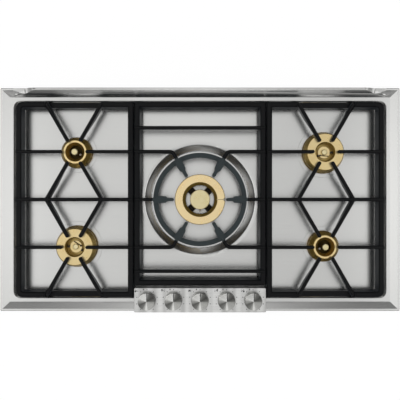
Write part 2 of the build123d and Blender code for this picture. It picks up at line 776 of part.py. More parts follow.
electrode_places = []
sensor_places = []
for place, (x, y, size) in burner_places.items():
    axis = Axis((x, y, 0), (0, 0, 1))
    profile_plane = Plane((x, y, 0), x_dir=(1, 0, 0), z_dir=(0, -1, 0))
    side = 1 if x > 0 else -1
    boss_start = (x - side * boss_reach, y, outlet_z)
    seat_z = collar_z + base_lip_height
    lip_radius = size.base_radius - sheet
    electrode_radius_from_axis = (size.bore_radius + size.hub_radius) / 2
    if size is large_burner:
        electrode_radius_from_axis = size.bore_radius - electrode_radius - 2 * electrode_hole_clearance
    igniter_angle = igniter_angle_left if x < 0 else igniter_angle_right
    sensor_angle = igniter_angle + sensor_step_angle
    spots = [
        (
            x + electrode_radius_from_axis * cos(radians(angle)),
            y + electrode_radius_from_axis * sin(radians(angle)),
        )
        for angle in (igniter_angle, sensor_angle)
    ]
    stands_in_cup = electrode_radius_from_axis + electrode_radius < cup_inner_radius
    electrode_foot_z = cup_floor_z if stands_in_cup else collar_z + sheet
    electrode_tip_z = worktop_z + size.bore_top_height
    electrode_places.append((spots[0], electrode_foot_z, electrode_tip_z))
    sensor_places.append((spots[1], electrode_foot_z, electrode_tip_z))

    with BuildPart() as burner_base:
        with BuildSketch(profile_plane):
            with BuildLine():
                Polyline(
                    (0, cup_foot_z),
                    (cup_radius, cup_foot_z),
                    (cup_radius, collar_z),
                    (size.base_radius, collar_z),
                    (size.base_radius, seat_z - sheet),
                    (lip_radius, seat_z),
                    (size.bore_radius, seat_z),
                    (size.bore_radius, collar_z + sheet),
                    (cup_inner_radius, collar_z + sheet),
                    (cup_inner_radius, cup_floor_z),
                    (0, cup_floor_z),
                    close=True,
                )
            make_face()
        revolve(axis=axis)
        add(cup_boss(boss_start, (side, 0, 0)))
        add(cup_gas_way(x, y, boss_start, (side, 0, 0)), mode=Mode.SUBTRACT)
    write(burner_base, f"burner_base_{place}")

    ring_z = worktop_z + size.ring_height
    bore_top_z = worktop_z + size.bore_top_height
    hub_z = worktop_z + size.hub_height
    recess_z = seat_z + size.head_wall
    wall = size.head_wall
    band_z = seat_z + port_band_height
    with BuildPart() as burner_head:
        with BuildSketch(profile_plane):
            with BuildLine():
                Polyline(
                    (lip_radius, seat_z),
                    (lip_radius, band_z),
                    (size.ring_radius, ring_z - sheet),
                    (size.ring_radius - sheet, ring_z),
                    (size.ring_inner_radius, ring_z),
                    (size.bore_radius, bore_top_z),
                    (size.bore_radius, recess_z),
                    (size.hub_radius, recess_z),
                    (size.hub_radius, hub_z),
                    (size.hub_bore_radius, hub_z),
                    (size.hub_bore_radius, seat_z),
                    (size.bore_radius + wall, seat_z),
                    (size.bore_radius + wall, bore_top_z - wall),
                    (lip_radius - wall, band_z),
                    (lip_radius - wall, seat_z),
                    close=True,
                )
            make_face()
        revolve(axis=axis)
        # flame ports through the upright band
        with BuildSketch(Plane((x, y, band_z - flame_port_margin - flame_port_height))):
            with PolarLocations(lip_radius - wall / 2, size.port_count):
                Rectangle(2 * wall, flame_port_width)
        extrude(amount=flame_port_height, mode=Mode.SUBTRACT)
        # the electrodes stand up through the floor of the recess
        with BuildSketch(Plane.XY.offset(seat_z - wall)):
            with Locations(*spots):
                Circle(electrode_radius + electrode_hole_clearance)
        extrude(amount=2 * wall + sheet, mode=Mode.SUBTRACT)
    write(burner_head, f"burner_head_{place}")

    cap_z = hub_z + size.cap_thickness
    with BuildPart() as burner_cap:
        with BuildSketch(profile_plane):
            with BuildLine():
                Polyline(
                    (0, hub_z - size.cap_thickness),
                    (size.hub_bore_radius - contact_clearance, hub_z - size.cap_thickness),
                    (size.hub_bore_radius - contact_clearance, hub_z),
                    (size.cap_radius, hub_z),
                    (size.cap_radius, cap_z - sheet),
                    (size.cap_radius - sheet, cap_z),
                    (0, cap_z),
                    close=True,
                )
            make_face()
        revolve(axis=axis)
    write(burner_cap, f"burner_cap_{place}")

# ---------------------------------------------------------------- wok burner
wok_seat_z = dish_z + wok_seat_height
wok_arm_z = dish_z + wok_arm_height
wok_hub_z = worktop_z + wok_hub_height
wok_ring_z = worktop_z + wok_ring_height
wok_bore_top_z = worktop_z + wok_bore_top_height
wok_wall = wok_head_wall
with BuildPart() as burner_base_wok:
    with BuildSketch(Plane.XZ):
        with BuildLine():
            Polyline(
                (0, cup_foot_z),
                (cup_radius, cup_foot_z),
                (cup_radius, dish_z),
                (wok_hub_radius, dish_z),
                (wok_hub_radius, wok_hub_z),
                (cup_inner_radius, wok_hub_z),
                (cup_inner_radius, cup_floor_z),
                (0, cup_floor_z),
                close=True,
            )
        make_face()
        with BuildLine():
            Polyline(
                (wok_bore_radius, dish_z),
                (wok_base_radius, dish_z),
                (wok_base_radius, wok_seat_z - sheet),
                (wok_base_radius - sheet, wok_seat_z),
                (wok_bore_radius, wok_seat_z),
                close=True,
            )
        make_face()
    revolve(axis=Axis.Z)
    # four arms bridge from the hub to the ring
    arm_reach = wok_bore_radius + wok_wall
    with BuildSketch(Plane.XY.offset(dish_z)):
        with PolarLocations((arm_reach + wok_hub_radius) / 2, wok_arm_count, start_angle=wok_arm_angle):
            Rectangle(arm_reach - wok_hub_radius + wok_wall, wok_arm_width)
        Circle(wok_hub_radius - wok_wall / 2, mode=Mode.SUBTRACT)
    extrude(amount=wok_seat_z - dish_z)
    with BuildSketch(Plane.XY.offset(wok_seat_z)):
        with PolarLocations((wok_bore_radius + wok_hub_radius) / 2, wok_arm_count, start_angle=wok_arm_angle):
            Rectangle(wok_bore_radius - wok_hub_radius + wok_wall, wok_arm_width)
        Circle(wok_hub_radius - wok_wall / 2, mode=Mode.SUBTRACT)
        Circle(wok_bore_radius - contact_clearance, mode=Mode.INTERSECT)
    extrude(amount=wok_arm_z - wok_seat_z)
    add(cup_boss((0, -boss_reach, outlet_z), (0, 1, 0)))
    add(cup_gas_way(0, 0, (0, -boss_reach, outlet_z), (0, 1, 0)), mode=Mode.SUBTRACT)
write(burner_base_wok, "burner_base_wok")

with BuildPart() as burner_head_wok:
    with BuildSketch(Plane.XZ):
        with BuildLine():
            Polyline(
                (wok_ring_radius, wok_seat_z),
                (wok_ring_radius, wok_ring_z - sheet),
                (wok_ring_radius - sheet, wok_ring_z),
                (wok_ring_inner_radius, wok_ring_z),
                (wok_bore_radius, wok_bore_top_z),
                (wok_bore_radius, wok_seat_z),
                (wok_bore_radius + wok_wall, wok_seat_z),
                (wok_bore_radius + wok_wall, wok_bore_top_z - wok_wall),
                (wok_ring_inner_radius + wok_wall, wok_ring_z - wok_wall),
                (wok_ring_radius - wok_wall, wok_ring_z - wok_wall),
                (wok_ring_radius - wok_wall, wok_seat_z),
                close=True,
            )
        make_face()
    revolve(axis=Axis.Z)
    with BuildSketch(Plane.XY.offset(wok_ring_z - 2 * wok_wall - flame_port_height)):
        with PolarLocations(wok_ring_radius - wok_wall / 2, wok_port_count, start_angle=wok_port_angle):
            Rectangle(2 * wok_wall, flame_port_width)
    extrude(amount=flame_port_height, mode=Mode.SUBTRACT)
    # the slit in the ring and the notch that its electrode stands in, both on the right
    with BuildSketch(Plane.XY.offset(wok_ring_z - 2 * wok_wall)):
        with Locations((wok_ring_radius, 0)):
            Rectangle(2 * (wok_ring_radius - wok_ring_inner_radius) + 2 * wok_wall, wok_slit_width)
    extrude(amount=3 * wok_wall, mode=Mode.SUBTRACT)
    with BuildSketch(Plane.XY.offset(wok_seat_z)):
        with Locations((wok_ring_radius, 0)):
            Rectangle(2 * wok_notch_depth, wok_notch_width)
    extrude(amount=wok_ring_z - wok_seat_z, mode=Mode.SUBTRACT)
write(burner_head_wok, "burner_head_wok")

with BuildPart() as burner_cap_wok:
    with BuildSketch(Plane.XZ):
        with BuildLine():
            Polyline(
                (0, wok_hub_z - wok_cap_thickness),
                (cup_inner_radius - contact_clearance, wok_hub_z - wok_cap_thickness),
                (cup_inner_radius - contact_clearance, wok_hub_z),
                (wok_cap_radius, wok_hub_z),
                (wok_cap_radius, wok_hub_z + wok_cap_thickness - sheet),
                (wok_cap_radius - sheet, wok_hub_z + wok_cap_thickness),
                (0, wok_hub_z + wok_cap_thickness),
                close=True,
            )
        make_face()
    revolve(axis=Axis.Z)
write(burner_cap_wok, "burner_cap_wok")

# ---------------------------------------------------------------- injectors and electrodes
with BuildPart() as injectors:
    for x, y in [(0.0, 0.0)] + [(x, y) for x, y, size in burner_places.values()]:
        with BuildSketch(Plane((x, y, cup_floor_z))):
            RegularPolygon(injector_radius, 6)
            Circle(injector_bore_radius, mode=Mode.SUBTRACT)
        extrude(amount=injector_length)
write(injectors, "injectors")


def electrode(place, foot_z, tip_z):
    """Ceramic rod with a metal tip."""
    with BuildPart() as rod:
        with BuildSketch(Plane((place[0], place[1], foot_z))):
            Circle(electrode_radius)
        extrude(amount=tip_z - electrode_tip_length - foot_z)
        with BuildSketch(Plane((place[0], place[1], tip_z - electrode_tip_length))):
            Rectangle(electrode_tip_width, electrode_tip_width)
        extrude(amount=electrode_tip_length)
    return rod.part


wok_electrode_x = wok_ring_radius - wok_notch_depth + electrode_radius + contact_clearance
wok_gap_radius = (wok_bore_radius + wok_hub_radius) / 2
with BuildPart() as ignition_electrodes:
    for spot, foot_z, tip_z in electrode_places:
        add(electrode(spot, foot_z, tip_z))
    add(electrode((wok_electrode_x, 0), wok_seat_z, wok_ring_z))
write(ignition_electrodes, "ignition_electrodes")

with BuildPart() as flame_sensors:
    for spot, foot_z, tip_z in sensor_places:
        add(electrode(spot, foot_z, tip_z))
    add(electrode((0, -wok_gap_radius), dish_z, wok_bore_top_z))
write(flame_sensors, "flame_sensors")

# ================================================================ grates
foot_column_bottom_z = floor_z + pad_thickness
side_rib_angles = [0, diagonal_angle, 180 - diagonal_angle, 180, 180 + diagonal_angle, 360 - diagonal_angle]
foot_y = grate_half_depth - foot_width / 2
finger_bottom_z = worktop_z + finger_bottom_height
finger_tip_z = worktop_z + finger_tip_height
dip_top_z = worktop_z + dip_top_height
dip_bottom_z = dip_top_z - dip_bar_height
bar_centre_y = grate_half_depth - frame_bar_width / 2
foot_offset_x = (bar_centre_y - burner_y) / tan(radians(diagonal_angle)) + foot_offset


def tip_relief(x, y, inner_radius, outer_radius, low_z):
    """Space that a burner needs below the fingers: a flat round pocket with a sloping edge."""
    with BuildPart() as relief:
        with BuildSketch(Plane((x, y, 0), x_dir=(1, 0, 0), z_dir=(0, -1, 0))):
            with BuildLine():
                Polyline(
                    (0, low_z - cut_margin),
                    (outer_radius, low_z - cut_margin),
                    (outer_radius, low_z),
                    (inner_radius, finger_tip_z),
                    (0, finger_tip_z),
                    close=True,
                )
            make_face()
        revolve(axis=Axis((x, y, 0), (0, 0, 1)))
    return relief.part


def grate_frame(x, y, width, length, rounded_side=0):
    """Frame bars with rounded tops, whose inner faces lean in towards their foot."""
    bar_height = frame_top_z - frame_bottom_z
    outer_corners = -1 if rounded_side > 0 else 0
    with BuildPart() as frame:
        with BuildSketch(Plane((x, y, frame_bottom_z))) as outline:
            Rectangle(width, length)
            if rounded_side:
                fillet(outline.vertices().group_by(Axis.X)[outer_corners], grate_corner_radius)
        extrude(amount=bar_height)
        with BuildSketch(Plane((x, y, frame_top_z), x_dir=(1, 0, 0), z_dir=(0, 0, -1))) as window:
            Rectangle(width - 2 * frame_bar_width, length - 2 * frame_bar_width)
            if rounded_side:
                fillet(window.vertices().group_by(Axis.X)[outer_corners], window_corner_radius)
        extrude(amount=bar_height, taper=frame_draft, mode=Mode.SUBTRACT)
        fillet(frame.edges().group_by(Axis.Z)[-1], frame_edge_radius)
    return frame.part


def finger(x, y, angle, start, end, width):
    """Outline of a straight finger on a ray from (x, y), with a rounded tip at its start."""
    with BuildSketch(mode=Mode.PRIVATE) as outline:
        with Locations((start + width / 2, 0)):
            Circle(width / 2)
        with Locations(((start + width / 2 + end) / 2, 0)):
            Rectangle(end - start - width / 2, width)
    return outline.sketch.rotate(Axis.Z, angle).moved(Location((x, y, 0)))


def paddle(angle):
    """Outline of a wok support that widens from its finger to the ring."""
    shoulder_radius = paddle_inner_radius + (paddle_inner_width - finger_width) / 2
    with BuildSketch(mode=Mode.PRIVATE) as outline:
        with BuildLine():
            Polyline(
                (paddle_outer_radius, -paddle_outer_width / 2),
                (paddle_outer_radius, paddle_outer_width / 2),
                (shoulder_radius, paddle_inner_width / 2),
                (paddle_inner_radius, finger_width / 2),
                (paddle_inner_radius, -finger_width / 2),
                (shoulder_radius, -paddle_inner_width / 2),
                close=True,
            )
        make_face()
    return outline.sketch.rotate(Axis.Z, angle)


def lowered_frame(centre_x, axis_x, side):
    """Frame of a side grate, with low bars between the diagonals at the front and the rear."""
    with BuildPart() as frame:
        add(grate_frame(centre_x, 0, side_grate_width, 2 * grate_half_depth, side))
        with BuildSketch(Plane.XY.offset(frame_bottom_z)):
            for end in (-1, 1):
                with Locations((axis_x, end * grate_half_depth)):
                    Rectangle(2 * foot_offset_x, 4 * frame_bar_width)
        extrude(amount=frame_top_z - frame_bottom_z, mode=Mode.SUBTRACT)
        with BuildSketch(Plane.XY.offset(dip_bottom_z)):
            for end in (-1, 1):
                with Locations((axis_x, end * bar_centre_y)):
                    Rectangle(2 * foot_offset_x, frame_bar_width)
        extrude(amount=dip_top_z - dip_bottom_z)
    return frame.part


for side, place in ((-1, "left"), (1, "right")):
    centre_x = side * side_grate_x
    axis_x = side * burner_x
    inner_edge_x = centre_x - side * side_grate_width / 2
    outer_edge_x = centre_x + side * side_grate_width / 2
    feet = [(axis_x + offset, end * foot_y) for offset in (-foot_offset_x, foot_offset_x) for end in (-1, 1)]
    feet += [(outer_edge_x - side * foot_width / 2, 0), (inner_edge_x + side * foot_width / 2, 0)]
    with BuildPart() as grate:
        # fingers, crossbar and the ribs that run over the frame
        with BuildSketch(Plane.XY.offset(finger_bottom_z)):
            for y in (-burner_y, burner_y):
                for angle in side_rib_angles:
                    if angle in (0, 180):
                        reach = abs((outer_edge_x if (angle == 0) == (side > 0) else inner_edge_x) - axis_x)
                        reach -= contact_clearance
                        add(finger(axis_x, y, angle, finger_tip_reach, reach, finger_width))
                    else:
                        towards_bar = (angle < 180) == (y > 0)
                        run = bar_centre_y - burner_y if towards_bar else burner_y
                        reach = run / sin(radians(diagonal_angle))
                        add(finger(axis_x, y, angle, finger_tip_reach, reach, diagonal_width))
            with Locations((centre_x, 0)):
                Rectangle(side_grate_width - 2 * contact_clearance, diagonal_width)
        extrude(amount=finger_top_z - finger_bottom_z)
        chamfer(grate.edges().group_by(Axis.Z)[-1], finger_edge_chamfer)
        # frame, lowered between the ends of the diagonals
        add(lowered_frame(centre_x, axis_x, side))
        with BuildSketch(Plane.XY.offset(foot_column_bottom_z)):
            with Locations(*feet):
                Rectangle(foot_width, foot_width)
        extrude(amount=frame_top_z - frame_edge_radius - foot_column_bottom_z)
        for y in (-burner_y, burner_y):
            add(
                tip_relief(axis_x, y, tip_cut_radius, tip_cut_radius + tip_cut_run, finger_bottom_z),
                mode=Mode.SUBTRACT,
            )
    write(grate, f"grate_{place}")

    with BuildPart() as grate_feet:
        with BuildSketch(Plane.XY.offset(floor_z)):
            with Locations(*feet):
                Rectangle(pad_width, pad_width)
        extrude(amount=pad_thickness)
    write(grate_feet, f"grate_feet_{place}")

# ---------------------------------------------------------------- centre grate with the wok ring
centre_half_width = centre_grate_width / 2
centre_length = grate_half_depth - centre_grate_front_y
centre_middle_y = (grate_half_depth + centre_grate_front_y) / 2
bend_x = burner_y / tan(radians(diagonal_angle))
finger_end_radius = wok_finger_reach + diagonal_width / 2
wok_ring_bottom_z = worktop_z + wok_ring_bottom_height
wok_ring_top_z = worktop_z + wok_ring_top_height
centre_feet = [
    (side * (centre_half_width - foot_width / 2), y)
    for side in (-1, 1)
    for y in (centre_grate_front_y + foot_width / 2, 0, foot_y)
]
with BuildPart() as grate_centre:
    # bent ribs that end as fingers, the two straight ribs on the middle line and the crossbars
    with BuildSketch(Plane.XY.offset(finger_bottom_z)):
        for side in (-1, 1):
            rib_start_x = side * (centre_half_width - contact_clearance)
            for end in (-1, 1):
                tip = (
                    side * finger_end_radius * cos(radians(diagonal_angle)),
                    end * finger_end_radius * sin(radians(diagonal_angle)),
                )
                with BuildLine():
                    FilletPolyline(
                        (rib_start_x, end * burner_y),
                        (side * bend_x, end * burner_y),
                        tip,
                        radius=wok_finger_bend,
                    )
                trace(line_width=diagonal_width)
                with Locations(tip):
                    Circle(diagonal_width / 2)
            add(
                finger(0, 0, 0 if side > 0 else 180, wok_finger_reach, abs(rib_start_x), finger_width)
            )
        with Locations((0, -crossbar_y), (0, crossbar_y)):
            Rectangle(centre_grate_width - 2 * contact_clearance, finger_width)
    extrude(amount=finger_top_z - finger_bottom_z)
    chamfer(grate_centre.edges().group_by(Axis.Z)[-1], finger_edge_chamfer)
    # spade-shaped wok supports, widest where they meet the ring
    with BuildSketch(Plane.XY.offset(finger_bottom_z)):
        for angle in side_rib_angles:
            add(paddle(angle))
    extrude(amount=finger_top_z - finger_edge_chamfer - finger_bottom_z)
    # the supports and finger tips fall towards the burner, so that a round wok sits in them
    with BuildSketch(Plane.XZ):
        with BuildLine():
            Polyline(
                (0, finger_top_z - wok_seat_drop),
                (wok_finger_reach, finger_top_z - wok_seat_drop),
                (paddle_outer_radius + finger_edge_chamfer, finger_top_z),
                (paddle_outer_radius + finger_edge_chamfer, finger_top_z + cut_margin),
                (0, finger_top_z + cut_margin),
                close=True,
            )
        make_face()
    revolve(axis=Axis.Z, mode=Mode.SUBTRACT)
    # ring that ties the six supports together below their tops
    with BuildSketch(Plane.XY.offset(wok_ring_bottom_z)):
        Circle(wok_ring_outer_radius)
        Circle(wok_ring_inner_edge, mode=Mode.SUBTRACT)
    extrude(amount=wok_ring_top_z - wok_ring_bottom_z)
    # frame and feet
    add(grate_frame(0, centre_middle_y, centre_grate_width, centre_length))
    with BuildSketch(Plane.XY.offset(foot_column_bottom_z)):
        with Locations(*centre_feet):
            Rectangle(foot_width, foot_width)
    extrude(amount=frame_top_z - frame_edge_radius - foot_column_bottom_z)
write(grate_centre, "grate_centre")

with BuildPart() as grate_feet_centre:
    with BuildSketch(Plane.XY.offset(floor_z)):
        with Locations(*centre_feet):
            Rectangle(pad_width, pad_width)
    extrude(amount=pad_thickness)
write(grate_feet_centre, "grate_feet_centre")

# ================================================================ burner box and fixings
box_top_z = ledge_z - sheet
gland_z = manifold_z
rear_wall_y = box_depth / 2
with BuildPart() as burner_box:
    with BuildSketch(Plane.XY):
        RectangleRounded(box_width, box_depth, box_corner_radius)
    extrude(amount=box_top_z)
    with BuildSketch(Plane.XY.offset(box_sheet)):
        RectangleRounded(
            box_width - 2 * box_sheet, box_depth - 2 * box_sheet, box_corner_radius - box_sheet
        )
    extrude(amount=box_top_z - 2 * box_sheet, mode=Mode.SUBTRACT)
    # the top flange stays under the tray's ledge and stops beside the control panel
    with BuildSketch(Plane.XY.offset(box_top_z - box_sheet)):
        Rectangle(box_width - 2 * box_flange_width, box_depth - 2 * box_flange_width)
        with Locations((0, panel_centre_y)):
            Rectangle(panel_width + 2 * contact_clearance, panel_depth)
    extrude(amount=box_sheet, mode=Mode.SUBTRACT)
    with BuildSketch(Plane((0, rear_wall_y, gland_z), x_dir=(1, 0, 0), z_dir=(0, -1, 0))):
        with Locations((inlet_x, 0)):
            Circle(inlet_thread_radius + contact_clearance)
        with Locations((-gland_x, 0)):
            Circle(gland_radius - gland_wall + contact_clearance)
    extrude(amount=2 * box_sheet, mode=Mode.SUBTRACT)
    with BuildSketch(Plane.XY):
        for side in (-1, 1):
            with Locations((side * vent_offset_x, 0)):
                with GridLocations(0, vent_pitch, 1, vent_count):
                    Rectangle(vent_length, vent_width)
    extrude(amount=box_sheet, mode=Mode.SUBTRACT)
write(burner_box, "burner_box")

seal_outer_width = overall_width - 2 * seal_inset
seal_outer_depth = overall_depth - 2 * seal_inset
with BuildPart() as worktop_seal:
    with BuildSketch(Plane.XY.offset(worktop_z)):
        Rectangle(seal_outer_width, seal_outer_depth)
        Rectangle(seal_outer_width - 2 * seal_width, seal_outer_depth - 2 * seal_width, mode=Mode.SUBTRACT)
    extrude(amount=seal_thickness)
write(worktop_seal, "worktop_seal")

# brackets on the front and rear walls that clamp the cooktop under the worktop
clamp_y = box_depth / 2
clamp_foot_z = worktop_z - clamp_drop
clamp_screw_y = clamp_y + clamp_reach - clamp_screw_head_radius - contact_clearance
with BuildPart() as clamp_brackets:
    for side in (-1, 1):
        for end in (-1, 1):
            bracket_x = side * clamp_x - clamp_width / 2
            with BuildSketch(Plane.YZ.offset(bracket_x)):
                with BuildLine():
                    Polyline(
                        (end * clamp_y, clamp_foot_z),
                        (end * (clamp_y + clamp_reach), clamp_foot_z),
                        (end * (clamp_y + clamp_reach), clamp_foot_z + clamp_thickness),
                        (end * (clamp_y + clamp_thickness), clamp_foot_z + clamp_thickness),
                        (end * (clamp_y + clamp_thickness), clamp_foot_z + clamp_leg),
                        (end * clamp_y, clamp_foot_z + clamp_leg),
                        close=True,
                    )
                make_face()
            extrude(amount=clamp_width)
    with Locations(
        *[
            (side * clamp_x, end * clamp_screw_y, clamp_foot_z + clamp_thickness)
            for side in (-1, 1)
            for end in (-1, 1)
        ]
    ):
        Hole(clamp_screw_radius + contact_clearance, depth=2 * clamp_thickness)
write(clamp_brackets, "clamp_brackets")

with BuildPart() as clamp_screws:
    for side in (-1, 1):
        for end in (-1, 1):
            screw_x = side * clamp_x
            screw_y = end * clamp_screw_y
            with BuildSketch(Plane((screw_x, screw_y, clamp_foot_z - clamp_screw_head_height))):
                RegularPolygon(clamp_screw_head_radius, 6)
            extrude(amount=clamp_screw_head_height)
            with BuildSketch(Plane((screw_x, screw_y, clamp_foot_z))):
                Circle(clamp_screw_radius)
            extrude(amount=clamp_screw_length)
write(clamp_screws, "clamp_screws")

terminal_box_y = box_inner_half_depth - terminal_box_depth / 2
with BuildPart() as terminal_box:
    with BuildSketch(Plane.XY.offset(box_sheet)):
        with Locations((-gland_x, terminal_box_y)):
            Rectangle(terminal_box_size, terminal_box_depth)
    extrude(amount=terminal_box_height)
    chamfer(terminal_box.edges().group_by(Axis.Z)[-1], housing_edge_chamfer)
    with BuildSketch(Plane((-gland_x, box_inner_half_depth, gland_z), x_dir=(1, 0, 0), z_dir=(0, -1, 0))):
        Circle(gland_radius - gland_wall + contact_clearance)
    extrude(amount=terminal_box_depth / 2, mode=Mode.SUBTRACT)
write(terminal_box, "terminal_box")

gland_spigot_length = box_sheet + gland_spigot_reach
gland_plane = Plane((-gland_x, rear_wall_y, gland_z), x_dir=(1, 0, 0), z_dir=(0, 1, 0))
with BuildPart() as cable_gland:
    with BuildSketch(gland_plane):
        RegularPolygon(gland_radius, 6)
    extrude(amount=gland_reach)
    with BuildSketch(gland_plane.offset(-gland_spigot_length)):
        Circle(gland_radius - gland_wall)
    extrude(amount=gland_spigot_length)
    with BuildSketch(gland_plane.offset(-gland_spigot_length)):
        Circle(gland_spigot_bore_radius)
    extrude(amount=gland_spigot_length + gland_reach - gland_grip_length, mode=Mode.SUBTRACT)
    with BuildSketch(gland_plane.offset(gland_reach - gland_grip_length)):
        Circle(gland_bore_radius)
    extrude(amount=gland_grip_length, mode=Mode.SUBTRACT)
write(cable_gland, "cable_gland")

with BuildPart() as ignition_module:
    with BuildSketch(Plane.XY.offset(box_sheet)):
        with Locations((ignition_module_x, ignition_module_y)):
            Rectangle(ignition_module_width, ignition_module_depth)
    extrude(amount=ignition_module_height)
    chamfer(ignition_module.edges().group_by(Axis.Z)[-1], housing_edge_chamfer)
    # high-voltage sockets, one for each burner
    with BuildSketch(Plane.XY.offset(box_sheet + ignition_module_height)):
        with Locations((ignition_module_x, ignition_module_y)):
            with GridLocations(ignition_socket_pitch, 0, knob_count, 1):
                Rectangle(ignition_socket_width, ignition_socket_width)
    extrude(amount=ignition_socket_height)
write(ignition_module, "ignition_module")
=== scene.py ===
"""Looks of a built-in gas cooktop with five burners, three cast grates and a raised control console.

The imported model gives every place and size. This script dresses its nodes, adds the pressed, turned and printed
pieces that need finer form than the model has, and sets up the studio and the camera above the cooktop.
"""

import logging
from collections.abc import Iterable
from dataclasses import dataclass, replace
from enum import Enum
from functools import partial, reduce
from math import cos, hypot, pi, radians, sin

import bmesh
import bpy
from mathutils import Matrix, Vector


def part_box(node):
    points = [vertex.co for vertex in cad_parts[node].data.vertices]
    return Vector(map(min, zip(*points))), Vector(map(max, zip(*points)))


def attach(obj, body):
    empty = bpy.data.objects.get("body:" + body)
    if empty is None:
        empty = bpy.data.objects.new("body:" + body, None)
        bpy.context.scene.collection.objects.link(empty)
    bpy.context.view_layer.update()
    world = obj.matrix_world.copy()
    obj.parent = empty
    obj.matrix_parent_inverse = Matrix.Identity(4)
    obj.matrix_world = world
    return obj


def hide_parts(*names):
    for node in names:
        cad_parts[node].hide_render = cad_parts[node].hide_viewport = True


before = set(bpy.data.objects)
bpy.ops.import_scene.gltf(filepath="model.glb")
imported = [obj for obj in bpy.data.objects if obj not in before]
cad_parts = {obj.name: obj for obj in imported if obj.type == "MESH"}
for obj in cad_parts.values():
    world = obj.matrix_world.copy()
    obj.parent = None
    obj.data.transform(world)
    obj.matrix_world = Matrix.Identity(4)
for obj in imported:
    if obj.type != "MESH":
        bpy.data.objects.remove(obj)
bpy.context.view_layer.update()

Tree = bpy.types.NodeTree
Node = bpy.types.Node
Socket = bpy.types.NodeSocket
BMesh = bmesh.types.BMesh
Pair = tuple[float, float]
Place = tuple[float, float, float]

MM = 0.001
WELD = 0.001 * MM  # points closer than this are one
NEAR = 0.01 * MM  # points this close to a cut lie on it
NOISE_SPAN = (0.3, 0.7)  # most of a noise texture lies between these values
PAINTED_BAND_SPAN = (0.36, 0.6)  # noise values between which one painted reflection band passes into the next
TOP_FACING = (0.86, 0.96)  # upward part of the normal, from a steep cone with its painted shade to a flat top
WALL_FACING = (0.25, 0.6)  # the same, from a wall with its painted reflection to an eased top
LOG = logging.getLogger("cooktop")
SIDE_BURNERS = ("left_rear", "left_front", "right_rear", "right_front")
KNOB_NUMBERS = (1, 2, 3, 4, 5)


def linear(colour: str) -> tuple[float, float, float, float]:
    """Turn an sRGB hex colour into linear light.

    Args:
        colour: colour such as "#c8c8c6".

    Returns:
        Linear red, green, blue and an alpha of 1.
    """
    channels = [int(colour[i : i + 2], 16) / 255 for i in (1, 3, 5)]
    red, green, blue = (c / 12.92 if c <= 0.04045 else ((c + 0.055) / 1.055) ** 2.4 for c in channels)
    return (red, green, blue, 1.0)


def add_node(tree: Tree, kind: str, inputs: dict | None = None, **settings: object) -> Node:
    """Add a shader node with its settings, values and links.

    Args:
        tree: node tree that receives the node.
        kind: Blender's type name of the node.
        inputs: input sockets by name or number, each with a value or with the socket that feeds it.
        settings: the node's own properties.

    Returns:
        The new node.
    """
    node = tree.nodes.new(kind)
    for name, value in settings.items():
        setattr(node, name, value)
    for key, value in (inputs or {}).items():
        if isinstance(value, Socket):
            tree.links.new(value, node.inputs[key])
        else:
            node.inputs[key].default_value = value
    return node


def remap(tree: Tree, value: Socket, span: Pair, levels: Pair, curve: str = "SMOOTHSTEP") -> Socket:
    """Let a level pass from one value to another.

    Args:
        tree: node tree that receives the node.
        value: what the level depends on.
        span: values where the change starts and ends.
        levels: level before and after.
        curve: Blender's name for the way the level changes.

    Returns:
        The level's socket.
    """
    return add_node(
        tree,
        "ShaderNodeMapRange",
        {"Value": value, "From Min": span[0], "From Max": span[1], "To Min": levels[0], "To Max": levels[1]},
        interpolation_type=curve,
    ).outputs["Result"]


def blend(tree: Tree, share: Socket, first: str | Socket, second: str | Socket, span: Pair = NOISE_SPAN) -> Socket:
    """Blend two colours by a value.

    Args:
        tree: node tree that receives the nodes.
        share: value that picks the colour.
        first: colour at and below the span's start, as hex or as a socket.
        second: colour at and above the span's end, as hex or as a socket.
        span: values between which the colours blend.

    Returns:
        The colour socket.
    """
    factor = remap(tree, share, span, (0.0, 1.0))
    low, high = (linear(colour) if isinstance(colour, str) else colour for colour in (first, second))
    return add_node(tree, "ShaderNodeMixRGB", {"Fac": factor, "Color1": low, "Color2": high}).outputs["Color"]


def combine(tree: Tree, operation: str, first: Socket, second: Socket | float = 0.0) -> Socket:
    """Calculate with one or two numbers."""
    return add_node(tree, "ShaderNodeMath", {0: first, 1: second}, operation=operation).outputs[0]


def vector(tree: Tree, operation: str, first: Socket, second: Socket | Place = (0.0, 0.0, 0.0)) -> Socket:
    """Calculate with one or two vectors."""
    node = add_node(tree, "ShaderNodeVectorMath", {0: first, 1: second}, operation=operation)
    return node.outputs["Value" if operation == "LENGTH" else "Vector"]


def from_axis(tree: Tree, place: Socket, centre: Pair = (0.0, 0.0)) -> Socket:
    """Give the level offset of a place from an upright axis."""
    return vector(tree, "MULTIPLY", vector(tree, "SUBTRACT", place, (*centre, 0.0)), (1.0, 1.0, 0.0))


def height_of(tree: Tree, value: Socket) -> Socket:
    """Give the upward part of a vector."""
    return add_node(tree, "ShaderNodeSeparateXYZ", {0: value}).outputs["Z"]


def noise(tree: Tree, place: Socket, scale: float, detail: float) -> Socket:
    """Add a noise texture and give its value."""
    return add_node(tree, "ShaderNodeTexNoise", {"Vector": place, "Scale": scale, "Detail": detail}).outputs["Fac"]


# ---- finishes
class Grain(Enum):
    """Direction in which a metal surface was brushed or turned."""

    ALONG_X = "along x"
    ROUND = "round an upright axis"


